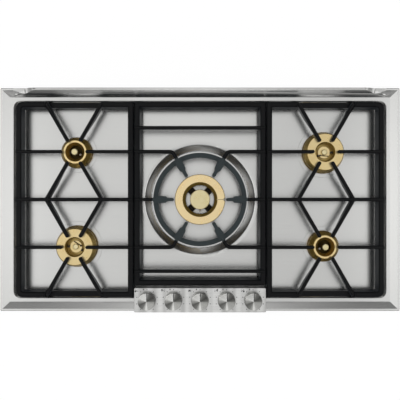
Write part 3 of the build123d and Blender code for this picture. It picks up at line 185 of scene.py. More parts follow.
@dataclass(frozen=True)
class Finish:
    """A surface finish, named for the material and how it was made."""

    name: str
    colour: str
    roughness: float

    def surface(self, tree: Tree, shader: Node) -> None:
        """Link the finish's pattern into the shader.

        Args:
            tree: the material's node tree.
            shader: its Principled BSDF.
        """

    def material(self) -> bpy.types.Material:
        """Give the finish's material, made on first use.

        Returns:
            The Blender material.
        """
        known = bpy.data.materials.get(self.name)
        if known:
            return known
        made = bpy.data.materials.new(self.name)
        made.use_nodes = True
        tree = made.node_tree
        tree.nodes.clear()
        look = {"Base Color": linear(self.colour), "Roughness": self.roughness}
        shader = add_node(tree, "ShaderNodeBsdfPrincipled", look)
        add_node(tree, "ShaderNodeOutputMaterial", {"Surface": shader.outputs["BSDF"]})
        self.surface(tree, shader)
        return made

    def texture(self, tree: Tree, shader: Node, sheen: tuple[Socket, float], relief: tuple[Socket, float]) -> None:
        """Link a swing of roughness and a fine relief into the shader.

        Args:
            tree: the material's node tree.
            shader: its Principled BSDF.
            sheen: noise that swings the roughness, and the swing to either side.
            relief: noise that gives the height, and its depth in millimetres.
        """
        pattern, swing = sheen
        rough = remap(tree, pattern, NOISE_SPAN, (self.roughness - swing, self.roughness + swing), "LINEAR")
        tree.links.new(rough, shader.inputs["Roughness"])
        pattern, depth = relief
        bump = add_node(tree, "ShaderNodeBump", {"Height": pattern, "Distance": depth * MM, "Strength": 1.0})
        tree.links.new(bump.outputs["Normal"], shader.inputs["Normal"])


@dataclass(frozen=True)
class BrushedMetal(Finish):
    """Metal with a directional grain; the grain stretches highlights across the brush lines."""

    dark_colour: str = "#9d9d9b"
    grain: Grain = Grain.ALONG_X
    centre: Pair = (0.0, 0.0)  # axis of a turned surface, in metres
    streak_width: float = 1.4  # mm; real lines are 0.1 mm, drawn wider so that they show
    streak_length: float = 60.0  # mm
    streak_depth: float = 0.0  # mm
    anisotropy: float = 0.5
    roughness_swing: float = 0.03
    painted_band_width: float = 0.0  # mm; broad bands of painted reflection across the brush
    painted_band_colour: str = "#9d9d9b"
    painted_glints: tuple[tuple[float, str], ...] = ()  # angles in degrees and colours of a painted fan of highlights on a turned face

    def paint_bow_tie(self, tree: Tree, place: Socket, colour: Socket) -> Socket:
        """Paint a bow tie of highlights and dull sectors onto a turned face by the angle round its axis, in place of
        the light its rings would catch.

        Args:
            tree: the material's node tree.
            place: object coordinates.
            colour: the finish's own colour.

        Returns:
            The colour with the painted highlights.
        """
        offset = from_axis(tree, place, self.centre)
        turn = add_node(tree, "ShaderNodeTexGradient", {"Vector": offset}, gradient_type="RADIAL").outputs["Fac"]
        ramp = add_node(tree, "ShaderNodeValToRGB", {"Fac": turn})
        ramp.color_ramp.interpolation = "EASE"
        stops = ramp.color_ramp.elements
        stops[0].color, stops[1].color = linear(self.painted_glints[0][1]), linear(self.painted_glints[-1][1])
        for angle, tint in self.painted_glints[1:-1]:
            stops.new((angle + 180) / 360).color = linear(tint)
        tints = {"Fac": 1.0, "Color1": colour, "Color2": ramp.outputs["Color"]}
        return add_node(tree, "ShaderNodeMixRGB", tints, blend_type="MULTIPLY").outputs["Color"]

    def surface(self, tree: Tree, shader: Node) -> None:
        """Link streaks of colour, roughness and height, the painted highlights and painted reflection bands, and the
        direction of the grain.

        Args:
            tree: the material's node tree.
            shader: its Principled BSDF.
        """
        shader.inputs["Metallic"].default_value = 1.0
        shader.inputs["Anisotropic"].default_value = self.anisotropy
        place = add_node(tree, "ShaderNodeTexCoord").outputs["Object"]
        along, aside = 1 / (self.streak_length * MM), 1 / (self.streak_width * MM)
        if self.grain is Grain.ROUND:
            offset = from_axis(tree, place, self.centre)
            across = vector(tree, "NORMALIZE", offset)
            radius = vector(tree, "LENGTH", offset)
            rings = add_node(tree, "ShaderNodeCombineXYZ", {0: radius, 1: height_of(tree, place)}).outputs[0]
            lines = vector(tree, "ADD", vector(tree, "MULTIPLY", rings, (aside,) * 3), across)
        else:
            across = add_node(tree, "ShaderNodeCombineXYZ", {0: 0.0, 1: 1.0, 2: 0.0}).outputs[0]
            lines = vector(tree, "MULTIPLY", place, (along, aside, aside))
        streaks = noise(tree, lines, 1.0, 1.0)
        colour = blend(tree, streaks, self.dark_colour, self.colour)
        # Painted highlights: a bow tie of bright and dull sectors by the angle round the axis.
        if self.painted_glints:
            colour = self.paint_bow_tie(tree, place, colour)
        # Painted reflection: broad bands of light and shade across the brush.
        if self.painted_band_width:
            wide = vector(tree, "MULTIPLY", place, (1 / (self.painted_band_width * MM), 0.0, 0.0))
            colour = blend(tree, noise(tree, wide, 1.0, 1.0), self.painted_band_colour, colour, PAINTED_BAND_SPAN)
        tree.links.new(colour, shader.inputs["Base Color"])
        self.texture(tree, shader, (streaks, self.roughness_swing), (streaks, self.streak_depth))
        spaces = {"vector_type": "VECTOR", "convert_from": "OBJECT", "convert_to": "WORLD"}
        tangent = add_node(tree, "ShaderNodeVectorTransform", {0: across}, **spaces).outputs[0]
        tree.links.new(tangent, shader.inputs["Tangent"])


@dataclass(frozen=True)
class Mottled(Finish):
    """Cast, moulded or plated surface: two close colours in soft patches over a fine grit."""

    second_colour: str = "#000000"
    metallic: float = 0.0
    patch: float = 30.0  # mm
    grit: float = 1.0  # mm
    grit_depth: float = 0.02  # mm
    roughness_swing: float = 0.08
    coat: float = 0.0
    shine: float = 0.5

    def zones(self, tree: Tree, shader: Node, place: Socket, colour: Socket) -> Socket:
        """Colour by zone; the plain finish has one zone.

        Args:
            tree: the material's node tree.
            shader: its Principled BSDF.
            place: object coordinates.
            colour: the finish's own colour.

        Returns:
            The colour socket for the shader.
        """
        return colour

    def surface(self, tree: Tree, shader: Node) -> None:
        """Link patches of colour and roughness, and the grit's height.

        Args:
            tree: the material's node tree.
            shader: its Principled BSDF.
        """
        shader.inputs["Metallic"].default_value = self.metallic
        shader.inputs["Coat Weight"].default_value = self.coat
        shader.inputs["Specular IOR Level"].default_value = self.shine
        place = add_node(tree, "ShaderNodeTexCoord").outputs["Object"]
        patches = noise(tree, place, 1 / (self.patch * MM), 4.0)
        grit = noise(tree, place, 1 / (self.grit * MM), 2.0)
        colour = self.zones(tree, shader, place, blend(tree, patches, self.second_colour, self.colour))
        tree.links.new(colour, shader.inputs["Base Color"])
        self.texture(tree, shader, (patches, self.roughness_swing), (grit, self.grit_depth))


@dataclass(frozen=True)
class HeadBrass(Mottled):
    """Brass burner head: flat faces turned bright; walls and cones left as cast and darkened further by painted shade;
    the recess darkened by painted shade.
    """

    # Walls: the cast skin's colour, darkened further as painted shade.
    wall_colour_and_painted_light: str = "#ab8f48"
    # Recess: painted shade where the hole lies deep.
    painted_recess_shade: str = "#a8915a"
    recess_top: float = 66.0  # mm; flat faces below this height belong to the recess
    recess_fade: float = 0.5  # mm, to either side of that height
    wall_metallic: float = 0.8

    def zones(self, tree: Tree, shader: Node, place: Socket, colour: Socket) -> Socket:
        """Colour by the way a face looks, with painted shade on the walls, and by its height, with painted shade in the
        recess.

        Args:
            tree: the material's node tree.
            shader: its Principled BSDF.
            place: object coordinates.
            colour: colour of the bright flat faces.

        Returns:
            The colour socket for the shader.
        """
        upward = height_of(tree, add_node(tree, "ShaderNodeTexCoord").outputs["Normal"])
        metal = remap(tree, upward, TOP_FACING, (self.wall_metallic, 1.0), "LINEAR")
        tree.links.new(metal, shader.inputs["Metallic"])
        # Painted shade on the flat faces below the recess's top.
        fade = ((self.recess_top - self.recess_fade) * MM, (self.recess_top + self.recess_fade) * MM)
        flat = blend(tree, height_of(tree, place), self.painted_recess_shade, colour, fade)
        # Walls get their cast colour with painted shade.
        return blend(tree, upward, self.wall_colour_and_painted_light, flat, TOP_FACING)


@dataclass(frozen=True)
class GrateIron(Mottled):
    """Enamelled cast iron: the walls carry a painted reflection of the light off the tray, and pans rub the top paler
    near the wok burner.
    """

    # Walls: a painted reflection of the light off the tray.
    wall_colour_and_painted_light: str = "#2e3236"
    rubbed_colour: str = "#3f4749"
    rubbed_radius: float = 0.0  # mm
    rubbed_fade: float = 4.0  # mm

    def zones(self, tree: Tree, shader: Node, place: Socket, colour: Socket) -> Socket:
        """Colour by the way a face looks, with a painted reflection on the walls, and by the distance from the wok
        burner's axis.

        Args:
            tree: the material's node tree.
            shader: its Principled BSDF.
            place: object coordinates.
            colour: colour of the untouched enamel.

        Returns:
            The colour socket for the shader.
        """
        if self.rubbed_radius:
            radius = vector(tree, "LENGTH", from_axis(tree, place))
            fade = ((self.rubbed_radius - self.rubbed_fade) * MM, self.rubbed_radius * MM)
            colour = blend(tree, radius, self.rubbed_colour, colour, fade)
        # Painted reflection on the walls, where the normal leans away from upright.
        upward = height_of(tree, add_node(tree, "ShaderNodeTexCoord").outputs["Normal"])
        return blend(tree, upward, self.wall_colour_and_painted_light, colour, WALL_FACING)


# Stainless steel, cold-rolled and brushed left to right: the lines are too fine to show singly, so they only
# stretch the reflections across.
TRAY_STEEL = BrushedMetal(
    "brushed_stainless_tray",
    "#d8d8d6",
    0.27,
    dark_colour="#d6d6d4",
    streak_width=1.1,
    streak_length=90.0,
    anisotropy=0.45,
    roughness_swing=0.0,
)
# The console's sheet has a slightly coarser, shorter brush, with broad bands of painted reflection across it.
PANEL_STEEL = BrushedMetal(
    "brushed_stainless_console",
    "#eaeae8",
    0.3,
    dark_colour="#dededc",
    streak_length=35.0,
    streak_depth=0.0001,
    painted_band_width=24.0,
    painted_band_colour="#c2c2c0",
)
# Knobs turned from stainless bar. The bow tie of highlights that their rings would stretch is painted into the colour,
# so it turns with the knob: the painted face is dull from 12 to 3 o'clock and from 7 to 9 o'clock, and bright in
# between.
KNOB_STEEL = BrushedMetal(
    "turned_stainless_knob",
    "#fafaf8",
    0.3,
    dark_colour="#f0f0ee",
    grain=Grain.ROUND,
    streak_width=0.8,
    streak_depth=0.00005,
    anisotropy=0.85,
    painted_glints=(
        (-180.0, "#9c9c9a"),
        (-155.0, "#646462"),
        (-125.0, "#868684"),
        (-108.0, "#b8b8b6"),
        (-90.0, "#fafaf8"),
        (-72.0, "#c8c8c6"),
        (-30.0, "#b2b2b0"),
        (-8.0, "#a0a09e"),
        (8.0, "#6c6c6a"),
        (32.0, "#5a5a58"),
        (62.0, "#767674"),
        (88.0, "#b4b4b2"),
        (108.0, "#f4f4f2"),
        (148.0, "#f6f6f4"),
        (180.0, "#9c9c9a"),
    ),
)
# Enamelled cast iron: near black, satin, with a fine sand-cast skin under the enamel.
SIDE_IRON = GrateIron(
    "enamelled_cast_iron",
    "#0f1012",
    0.38,
    second_colour="#0b0c0e",
    patch=40.0,
    grit=0.9,
    grit_depth=0.012,
    shine=0.15,
)
CENTRE_IRON = replace(SIDE_IRON, name="enamelled_cast_iron_centre", rubbed_radius=109.0)
# Brass, turned and lacquered on top: pale gold rings that reflect the room softly over dull cast walls, which carry
# painted shade.
RING_BRASS = HeadBrass(
    "satin_brass_ring",
    "#e4cf9c",
    0.3,
    second_colour="#dcc48e",
    metallic=1.0,
    patch=35.0,
    grit=0.6,
    grit_depth=0.002,
)
# The small burners' recess is painted black: painted shade in the deep hole.
SMALL_RING_BRASS = replace(
    RING_BRASS,
    name="satin_brass_small_ring",
    colour="#efd9a0",
    second_colour="#ecd098",
    wall_colour_and_painted_light="#b0924a",
    painted_recess_shade="#2a2110",
    recess_top=70.0,
)
WOK_RING_BRASS = replace(
    RING_BRASS,
    name="satin_brass_wok_ring",
    colour="#f4dfae",
    second_colour="#f1d7a4",
    wall_colour_and_painted_light="#b3944a",
    wall_metallic=0.55,
)
# Cast brass below the rings, brown from heat.
BASE_BRASS = Mottled(
    "cast_brass_base", "#9c7f2e", 0.42, second_colour="#80641e", metallic=0.9, patch=14.0, grit=0.8, grit_depth=0.01
)
# The wok burner's base and arms are coloured nearly black.
DARK_WOK_BASE_BRASS = Mottled(
    "dark_wok_base_brass", "#2c2417", 0.6, second_colour="#1a1510", metallic=0.6, patch=9.0, grit=0.8, grit_depth=0.02
)
CAP_BRASS = Mottled(
    "brushed_brass_cap", "#e6dab0", 0.32, second_colour="#e0d2a2", metallic=1.0, patch=20.0, grit=0.5, grit_depth=0.002
)
# Machined brass of the valves and the gas connection.
VALVE_BRASS = Mottled(
    "machined_brass", "#c9a75a", 0.3, second_colour="#b7954a", metallic=1.0, patch=12.0, grit=0.4, grit_depth=0.004
)
# Glazed alumina of the electrodes: white and glossy, faintly warm.
CERAMIC = Mottled(
    "glazed_alumina", "#e9e2da", 0.22, second_colour="#dcd2ca", patch=5.0, grit=0.4, grit_depth=0.002, coat=0.4
)
# The same alumina in the large burners, stained brown by heat.
BROWN_CERAMIC = Mottled(
    "heat_stained_alumina", "#2b231d", 0.3, second_colour="#1d1714", patch=4.0, grit=0.4, grit_depth=0.002
)
# Silicone rubber pads under the grates' feet.
PAD_RUBBER = Mottled("silicone_rubber", "#141415", 0.7, second_colour="#1c1c1d", patch=8.0, grit=0.5, grit_depth=0.01)
# Closed-cell foam strip under the border.
SEAL_FOAM = Mottled("closed_cell_foam", "#1b1b1c", 0.85, second_colour="#242425", patch=6.0, grit=0.8, grit_depth=0.05)
# Drawn steel gas tube, dull and slightly stained.
TUBE_STEEL = Mottled(
    "drawn_steel_tube", "#a9a9a6", 0.32, second_colour="#93938f", metallic=1.0, patch=18.0, grit=0.5, grit_depth=0.004
)
# Galvanised sheet: pale grey with the zinc's patches.
ZINC_SHEET = Mottled(
    "galvanised_sheet", "#b4b7b9", 0.42, second_colour="#9ea2a5", metallic=1.0, patch=16.0, grit=0.7, grit_depth=0.004
)
# Bright zinc plate on brackets, rail and screws.
ZINC_PLATE = Mottled(
    "zinc_plated_steel", "#bcbdb6", 0.3, second_colour="#a9aaa2", metallic=1.0, patch=10.0, grit=0.5, grit_depth=0.003
)
# Machined steel of the spindles.
SPINDLE_STEEL = Mottled(
    "machined_steel", "#a8a8a8", 0.28, second_colour="#989898", metallic=1.0, patch=9.0, grit=0.4, grit_depth=0.003
)
# Moulded black polyamide of the electrical parts: satin, with a spark-eroded texture.
POLYAMIDE = Mottled("moulded_polyamide", "#1f2022", 0.5, second_colour="#26282a", patch=20.0, grit=0.6, grit_depth=0.03)
# The two sides of a knob's milled pointer groove: one carries a painted highlight, the other a painted shade.
GROOVE_PAINTED_HIGHLIGHT = Mottled(
    "milled_steel_painted_highlight", "#fcfcfa", 0.3, second_colour="#f2f2f0", metallic=0.6, patch=4.0, grit=0.4, grit_depth=0.001
)
GROOVE_PAINTED_SHADE = Mottled(
    "milled_steel_painted_shade", "#4a4a49", 0.35, second_colour="#424241", metallic=0.8, patch=4.0, grit=0.4, grit_depth=0.001
)
# Screen-printed ink on the console.
INK = Mottled("screen_printed_ink", "#151516", 0.55, second_colour="#1d1d1e", patch=4.0, grit=0.5, grit_depth=0.002)


def dress(nodes: Iterable[str], finish: Finish) -> None:
    """Give CAD nodes a finish.

    Args:
        nodes: names of the nodes.
        finish: finish for all their faces.
    """
    for node in nodes:
        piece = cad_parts[node]
        if not piece.material_slots:
            piece.data.materials.append(finish.material())
        for slot in piece.material_slots:
            slot.material = finish.material()
        LOG.info("%s: %s", node, finish.name)


def add_piece(name: str, shape: BMesh, finish: Finish, body: str) -> bpy.types.Object:
    """Turn a bmesh into a finished piece that rides on a body.

    Args:
        name: name of the piece.
        shape: its mesh in metres, freed here.
        finish: its finish.
        body: CAD body that carries it.

    Returns:
        The new object.
    """
    mesh = bpy.data.meshes.new(name)
    shape.to_mesh(mesh)
    shape.free()
    mesh.materials.append(finish.material())
    piece = bpy.data.objects.new(name, mesh)
    bpy.context.scene.collection.objects.link(piece)
    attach(piece, body)
    LOG.info("%s: %d faces, %s", name, len(mesh.polygons), finish.name)
    return piece


def spin_outline(shape: BMesh, x: float, y: float, outline: Iterable[Pair], steps: int) -> None:
    """Turn an outline round an upright axis.

    Args:
        shape: mesh that receives the turned faces.
        x: place of the axis.
        y: place of the axis.
        outline: radius and height of each corner, in metres.
        steps: faces round the axis.
    """
    corners = [shape.verts.new((x + radius, y, height)) for radius, height in outline]
    lines = [shape.edges.new(pair) for pair in zip(corners, corners[1:])]
    bmesh.ops.spin(
        shape,
        geom=corners + lines,
        cent=(x, y, 0.0),
        axis=(0.0, 0.0, 1.0),
        dvec=(0.0, 0.0, 0.0),
        angle=2 * pi,
        steps=steps,
        use_merge=True,
        use_duplicate=False,
    )


def smooth_by_angle(shape: BMesh, crease: float) -> None:
    """Shade smoothly over the edges that turn by less than a crease angle in degrees."""
    for edge in shape.edges:
        edge.smooth = len(edge.link_faces) == 2 and edge.calc_face_angle() < radians(crease)


def finish_turning(shape: BMesh, bevel: float, sharp_turn: float = 30.0, level: float = 0.9995) -> None:
    """Close the poles, ease the sharp rings and point the faces outwards.

    Args:
        shape: the turned mesh.
        bevel: width of the eased edges, in metres.
        sharp_turn: edges that turn by more than this many degrees are eased.
        level: faces whose normals are this close to upright are shaded flat.
    """
    bmesh.ops.remove_doubles(shape, verts=shape.verts, dist=2 * WELD)
    bmesh.ops.recalc_face_normals(shape, faces=shape.faces)
    sharp = [e for e in shape.edges if len(e.link_faces) == 2 and e.calc_face_angle() > radians(sharp_turn)]
    bmesh.ops.bevel(
        shape,
        geom=sharp,
        offset=bevel,
        offset_type="OFFSET",
        affect="EDGES",
        segments=3,
        profile=0.5,
        material=-1,
        clamp_overlap=True,
    )
    for face in shape.faces:
        face.smooth = abs(face.normal.z) < level


def cut_plane(shape: BMesh, place: Place, facing: Place) -> None:
    """Cut edges into the whole mesh where a plane crosses it."""
    geom = [*shape.verts, *shape.edges, *shape.faces]
    bmesh.ops.bisect_plane(shape, geom=geom, dist=WELD, plane_co=place, plane_no=facing)


def middle(node: str) -> Vector:
    """Give the middle of a CAD node's box."""
    low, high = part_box(node)
    return (low + high) / 2


# ---- sub-assemblies
@dataclass
class Tray:
    """The pressed stainless tray and the steel pan, seal and clamps below it."""

    collar_margins: tuple[float, ...] = (60.5 * MM, 48.5 * MM)  # feet of the collars, large and small burners
    collar_pull: float = 3.0 * MM  # how far the foot is drawn in under the collar's flat top
    lip_span: Pair = (129.2 * MM, 133.0 * MM)  # outer half of the bend round the wok burner's dish
    lip_stretch: float = 1.9  # how much wider the bend's outer half is drawn out
    floor_top: float = 56.0 * MM  # the bends of the tray's floor lie below this height
    slope_foot: Pair = (234.6 * MM, 68.0 * MM)  # y and z where the rear border's slope starts
    slope_pitch: float = 6.0 / 15.4  # rise over run of the border where it isn't raised
    kink_y: float = 237.2 * MM  # the raised rear border climbs steeply to here and then leans back
    kink_z: Pair = (70.0 * MM, 70.1 * MM)  # heights between which the cut crosses the upper face
    kink_lift: float = 3.9 * MM
    ramp: Pair = (401.9 * MM, 428.0 * MM)  # feet of the raised part's ramps, ends of its shelves
    ramp_length: float = 27.0 * MM
    shelf_z: float = 73.4 * MM
    shelf_under: Pair = (72.5 * MM, 73.1 * MM)  # heights of the shelves' lower face
    shelf_reach: float = 0.5 * MM  # how far the slope may pass the shelves' height
    sheet: float = 1.2 * MM
    match: float = 0.4 * MM  # how near a collar's foot a point counts as part of it
    crease: float = 24.0
    level: float = 0.9999  # faces whose normals are this close to upright are shaded flat

    def draw_collars(self, shape: BMesh) -> None:
        """Stand the collars round the side burners upright.

        Args:
            shape: copy of the tray's mesh.
        """
        for place in SIDE_BURNERS:
            axis = middle(f"burner_cap_{place}")
            for vertex in shape.verts:
                run = hypot(vertex.co.x - axis.x, vertex.co.y - axis.y)
                if vertex.co.z < self.floor_top and any(abs(run - foot) < self.match for foot in self.collar_margins):
                    grow = (run - self.collar_pull) / run
                    vertex.co.x = axis.x + (vertex.co.x - axis.x) * grow
                    vertex.co.y = axis.y + (vertex.co.y - axis.y) * grow

    def draw_lip(self, shape: BMesh) -> None:
        """Draw out the bend round the wok burner's dish.

        Args:
            shape: copy of the tray's mesh.
        """
        start, end = self.lip_span
        for vertex in shape.verts:
            run = hypot(vertex.co.x, vertex.co.y)
            if start < run < end and vertex.co.z < self.floor_top:
                grow = 1 + (run - start) * (self.lip_stretch - 1) / run
                vertex.co.x *= grow
                vertex.co.y *= grow

    def kink_border(self, shape: BMesh) -> None:
        """Give the raised rear border a steep foot, and bring the shelves at its ends down to the slope.

        Args:
            shape: copy of the tray's mesh.
        """
        cut_plane(shape, (0.0, self.kink_y, 0.0), (0.0, 1.0, 0.0))
        foot_y, foot_z = self.slope_foot
        for vertex in shape.verts:
            x, y, z = vertex.co
            on_kink = abs(y - self.kink_y) < NEAR and self.kink_z[0] < z < self.kink_z[1]
            plain = foot_z + (y - foot_y) * self.slope_pitch
            if self.ramp[0] < abs(x) < self.ramp[1] and y > foot_y and plain < self.shelf_z + self.shelf_reach:
                if z > self.shelf_z or on_kink:
                    vertex.co.z = plain
                elif self.shelf_under[0] < z < self.shelf_under[1]:
                    vertex.co.z = plain - self.sheet
            elif on_kink:
                vertex.co.z += self.kink_lift * min(1.0, max(0.0, self.ramp[0] - abs(x)) / self.ramp_length)

    def press(self) -> None:
        """Press the tray from a copy of its solid."""
        shape = bmesh.new()
        shape.from_mesh(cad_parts["top_tray"].data)
        bmesh.ops.remove_doubles(shape, verts=shape.verts, dist=WELD)
        self.draw_collars(shape)
        self.draw_lip(shape)
        self.kink_border(shape)
        for face in shape.faces:
            face.smooth = abs(face.normal.z) < self.level
        smooth_by_angle(shape, self.crease)
        tray = add_piece("tray_pressing", shape, TRAY_STEEL, "root")
        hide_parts("top_tray")

    def build(self) -> None:
        """Dress the tray and what hangs from it."""
        self.press()
        dress(["burner_box"], ZINC_SHEET)
        dress(["worktop_seal"], SEAL_FOAM)
        dress(["clamp_brackets", "clamp_screws"], ZINC_PLATE)


@dataclass
class Console:
    """The control panel, its five knobs and the marks printed round them."""

    tick_radius: float = 24.3 * MM
    tick_size: float = 1.0 * MM
    tick_step: float = 36.0
    ticks_aside: int = 4  # to either side of the top one
    ink_height: float = 0.04 * MM
    flame_size: float = 1.3 * MM
    flame_steps: int = 14
    flame_tip: float = 1.5 * MM
    flame_waist: float = 0.6
    flame_reach: float = 1.06  # distance from the knob's axis, in tick radii
    icon_offset: Pair = (-23.5 * MM, 22.2 * MM)
    icon_pitch: Pair = (2.6 * MM, 1.56 * MM)
    icon_dot: float = 0.85 * MM
    icon_spot: float = 1.9 * MM
    # column and row of each knob's burner in the small plan
    burner_spots: tuple[tuple[int, int], ...] = ((-1, -1), (-1, 1), (0, 0), (1, 1), (1, -1))
    knob_dish: float = 1.4 * MM
    knob_rings: int = 8
    knob_steps: int = 96
    knob_taper: float = 0.7 * MM
    knob_edge: float = 0.55 * MM
    knob_crease: float = 20.0
    socket_radius: float = 4.06 * MM
    socket_depth: float = 11.05 * MM
    pointer_half_width: float = 1.7 * MM
    pointer_depth: float = 0.75 * MM
    groove_facing: float = 0.3  # least upward part of the normal of the groove's sides

    def mark(
        self, shape: BMesh, x: float, y: float, z: float, radius: float, steps: int = 12
    ) -> list[bmesh.types.BMVert]:
        """Add one round printed dot.

        Args:
            shape: mesh that receives the dot.
            x: place of the dot's middle.
            y: place of the dot's middle.
            z: height of the panel's face.
            radius: the dot's radius.
            steps: corners of its outline.

        Returns:
            The dot's corners.
        """
        return bmesh.ops.create_cone(
            shape,
            cap_ends=True,
            segments=steps,
            radius1=radius,
            radius2=radius,
            depth=self.ink_height,
            matrix=Matrix.Translation((x, y, z + self.ink_height / 2)),
        )["verts"]

    def flame(self, shape: BMesh, centre: Vector, face_z: float) -> None:
        """Print a small drop-shaped flame beside the top tick.

        Args:
            shape: mesh that receives the mark.
            centre: middle of the knob.
            face_z: height of the panel's face.
        """
        angle = radians(90 + self.tick_step / 2)
        x = centre.x + self.tick_radius * self.flame_reach * cos(angle)
        y = centre.y + self.tick_radius * self.flame_reach * sin(angle)
        for vertex in self.mark(shape, x, y, face_z, self.flame_size, self.flame_steps):
            rise = (vertex.co.y - y) / self.flame_size
            if rise > 0:
                vertex.co.y += rise * rise * self.flame_tip
                vertex.co.x = x + (vertex.co.x - x) * (1 - self.flame_waist * rise)

    def print_marks(self) -> None:
        """Print the ticks, the flame drop and the burner plan beside each knob."""
        face_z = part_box("control_panel")[1].z
        shape = bmesh.new()
        for number in KNOB_NUMBERS:
            centre = middle(f"knob_{number}")
            for step in range(-self.ticks_aside, self.ticks_aside + 1):
                angle = radians(90 + step * self.tick_step)
                x, y = centre.x + self.tick_radius * cos(angle), centre.y + self.tick_radius * sin(angle)
                self.mark(shape, x, y, face_z, self.tick_size)
            self.flame(shape, centre, face_z)
            for index, (column, row) in enumerate(self.burner_spots):
                x = centre.x + self.icon_offset[0] + column * self.icon_pitch[0]
                y = centre.y + self.icon_offset[1] + row * self.icon_pitch[1]
                self.mark(shape, x, y, face_z, self.icon_spot if index == number - 1 else self.icon_dot)
        add_piece("console_marks", shape, INK, "root")

    def turn_knob(self, number: int) -> None:
        """Turn a knob with a dished face and cut its V-shaped pointer groove, whose sides get a painted highlight and a
        painted shade.

        Args:
            number: the knob's number, from the left.
        """
        low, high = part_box(f"knob_{number}")
        centre = (low + high) / 2
        radius = (high.x - low.x) / 2
        shares = [1 - ring / self.knob_rings for ring in range(self.knob_rings + 1)]
        dish = [((radius - self.knob_taper) * share, high.z - self.knob_dish * (1 - share**2)) for share in shares]
        socket_top = low.z + self.socket_depth
        outline = [(0.0, socket_top), (self.socket_radius, socket_top), (self.socket_radius, low.z), (radius, low.z)]
        shape = bmesh.new()
        spin_outline(shape, centre.x, centre.y, [*outline, *dish], self.knob_steps)
        finish_turning(shape, self.knob_edge)
        for offset in (-self.pointer_half_width, 0.0, self.pointer_half_width):
            cut_plane(shape, (centre.x + offset, 0.0, 0.0), (1.0, 0.0, 0.0))
        groove_y, dish_z = centre.y + self.pointer_half_width, high.z - self.knob_dish
        for vertex in shape.verts:
            on_line = abs(vertex.co.x - centre.x) < NEAR and vertex.co.y > groove_y
            if on_line and vertex.co.z > dish_z - NEAR:
                vertex.co.z -= self.pointer_depth
        smooth_by_angle(shape, self.knob_crease)
        # Each knob's material carries its own painted bow tie of highlights round its own axis.
        turned = replace(KNOB_STEEL, name=f"{KNOB_STEEL.name}_{number}", centre=(centre.x, centre.y))
        knob = add_piece(f"turned_knob_{number}", shape, turned, f"control_{number}")
        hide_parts(f"knob_{number}")
        # The groove's left side gets a painted highlight and its right side a painted shade.
        for finish in (GROOVE_PAINTED_HIGHLIGHT, GROOVE_PAINTED_SHADE):
            knob.data.materials.append(finish.material())
        for face in knob.data.polygons:
            x, y, z = face.center
            in_groove = abs(x - centre.x) < self.pointer_half_width and y > groove_y
            if in_groove and z > dish_z - self.pointer_depth and face.normal.z > self.groove_facing:
                face.material_index = 1 if x < centre.x else 2

    def build(self) -> None:
        """Dress the panel, turn the knobs and print the marks."""
        dress(["control_panel"], PANEL_STEEL)
        for number in KNOB_NUMBERS:
            self.turn_knob(number)
        dress([f"valve_spindle_{n}" for n in KNOB_NUMBERS], SPINDLE_STEEL)
        self.print_marks()


@dataclass
class Grates:
    """Three enamelled cast-iron grates on rubber pads."""

    sides: tuple[str, ...] = ("left", "centre", "right")

    def build(self) -> None:
        """Dress the grates and their pads."""
        dress(["grate_left", "grate_right"], SIDE_IRON)
        dress(["grate_centre"], CENTRE_IRON)
        dress([f"grate_feet_{side}" for side in self.sides], PAD_RUBBER)


@dataclass(frozen=True)
class Igniter:
    """Place and reach of the electrode and the flame sensor of one burner, in millimetres and degrees."""

    burner: str
    radius: float
    angles: Pair
    foot: float
    tip: float
    stained: bool = False


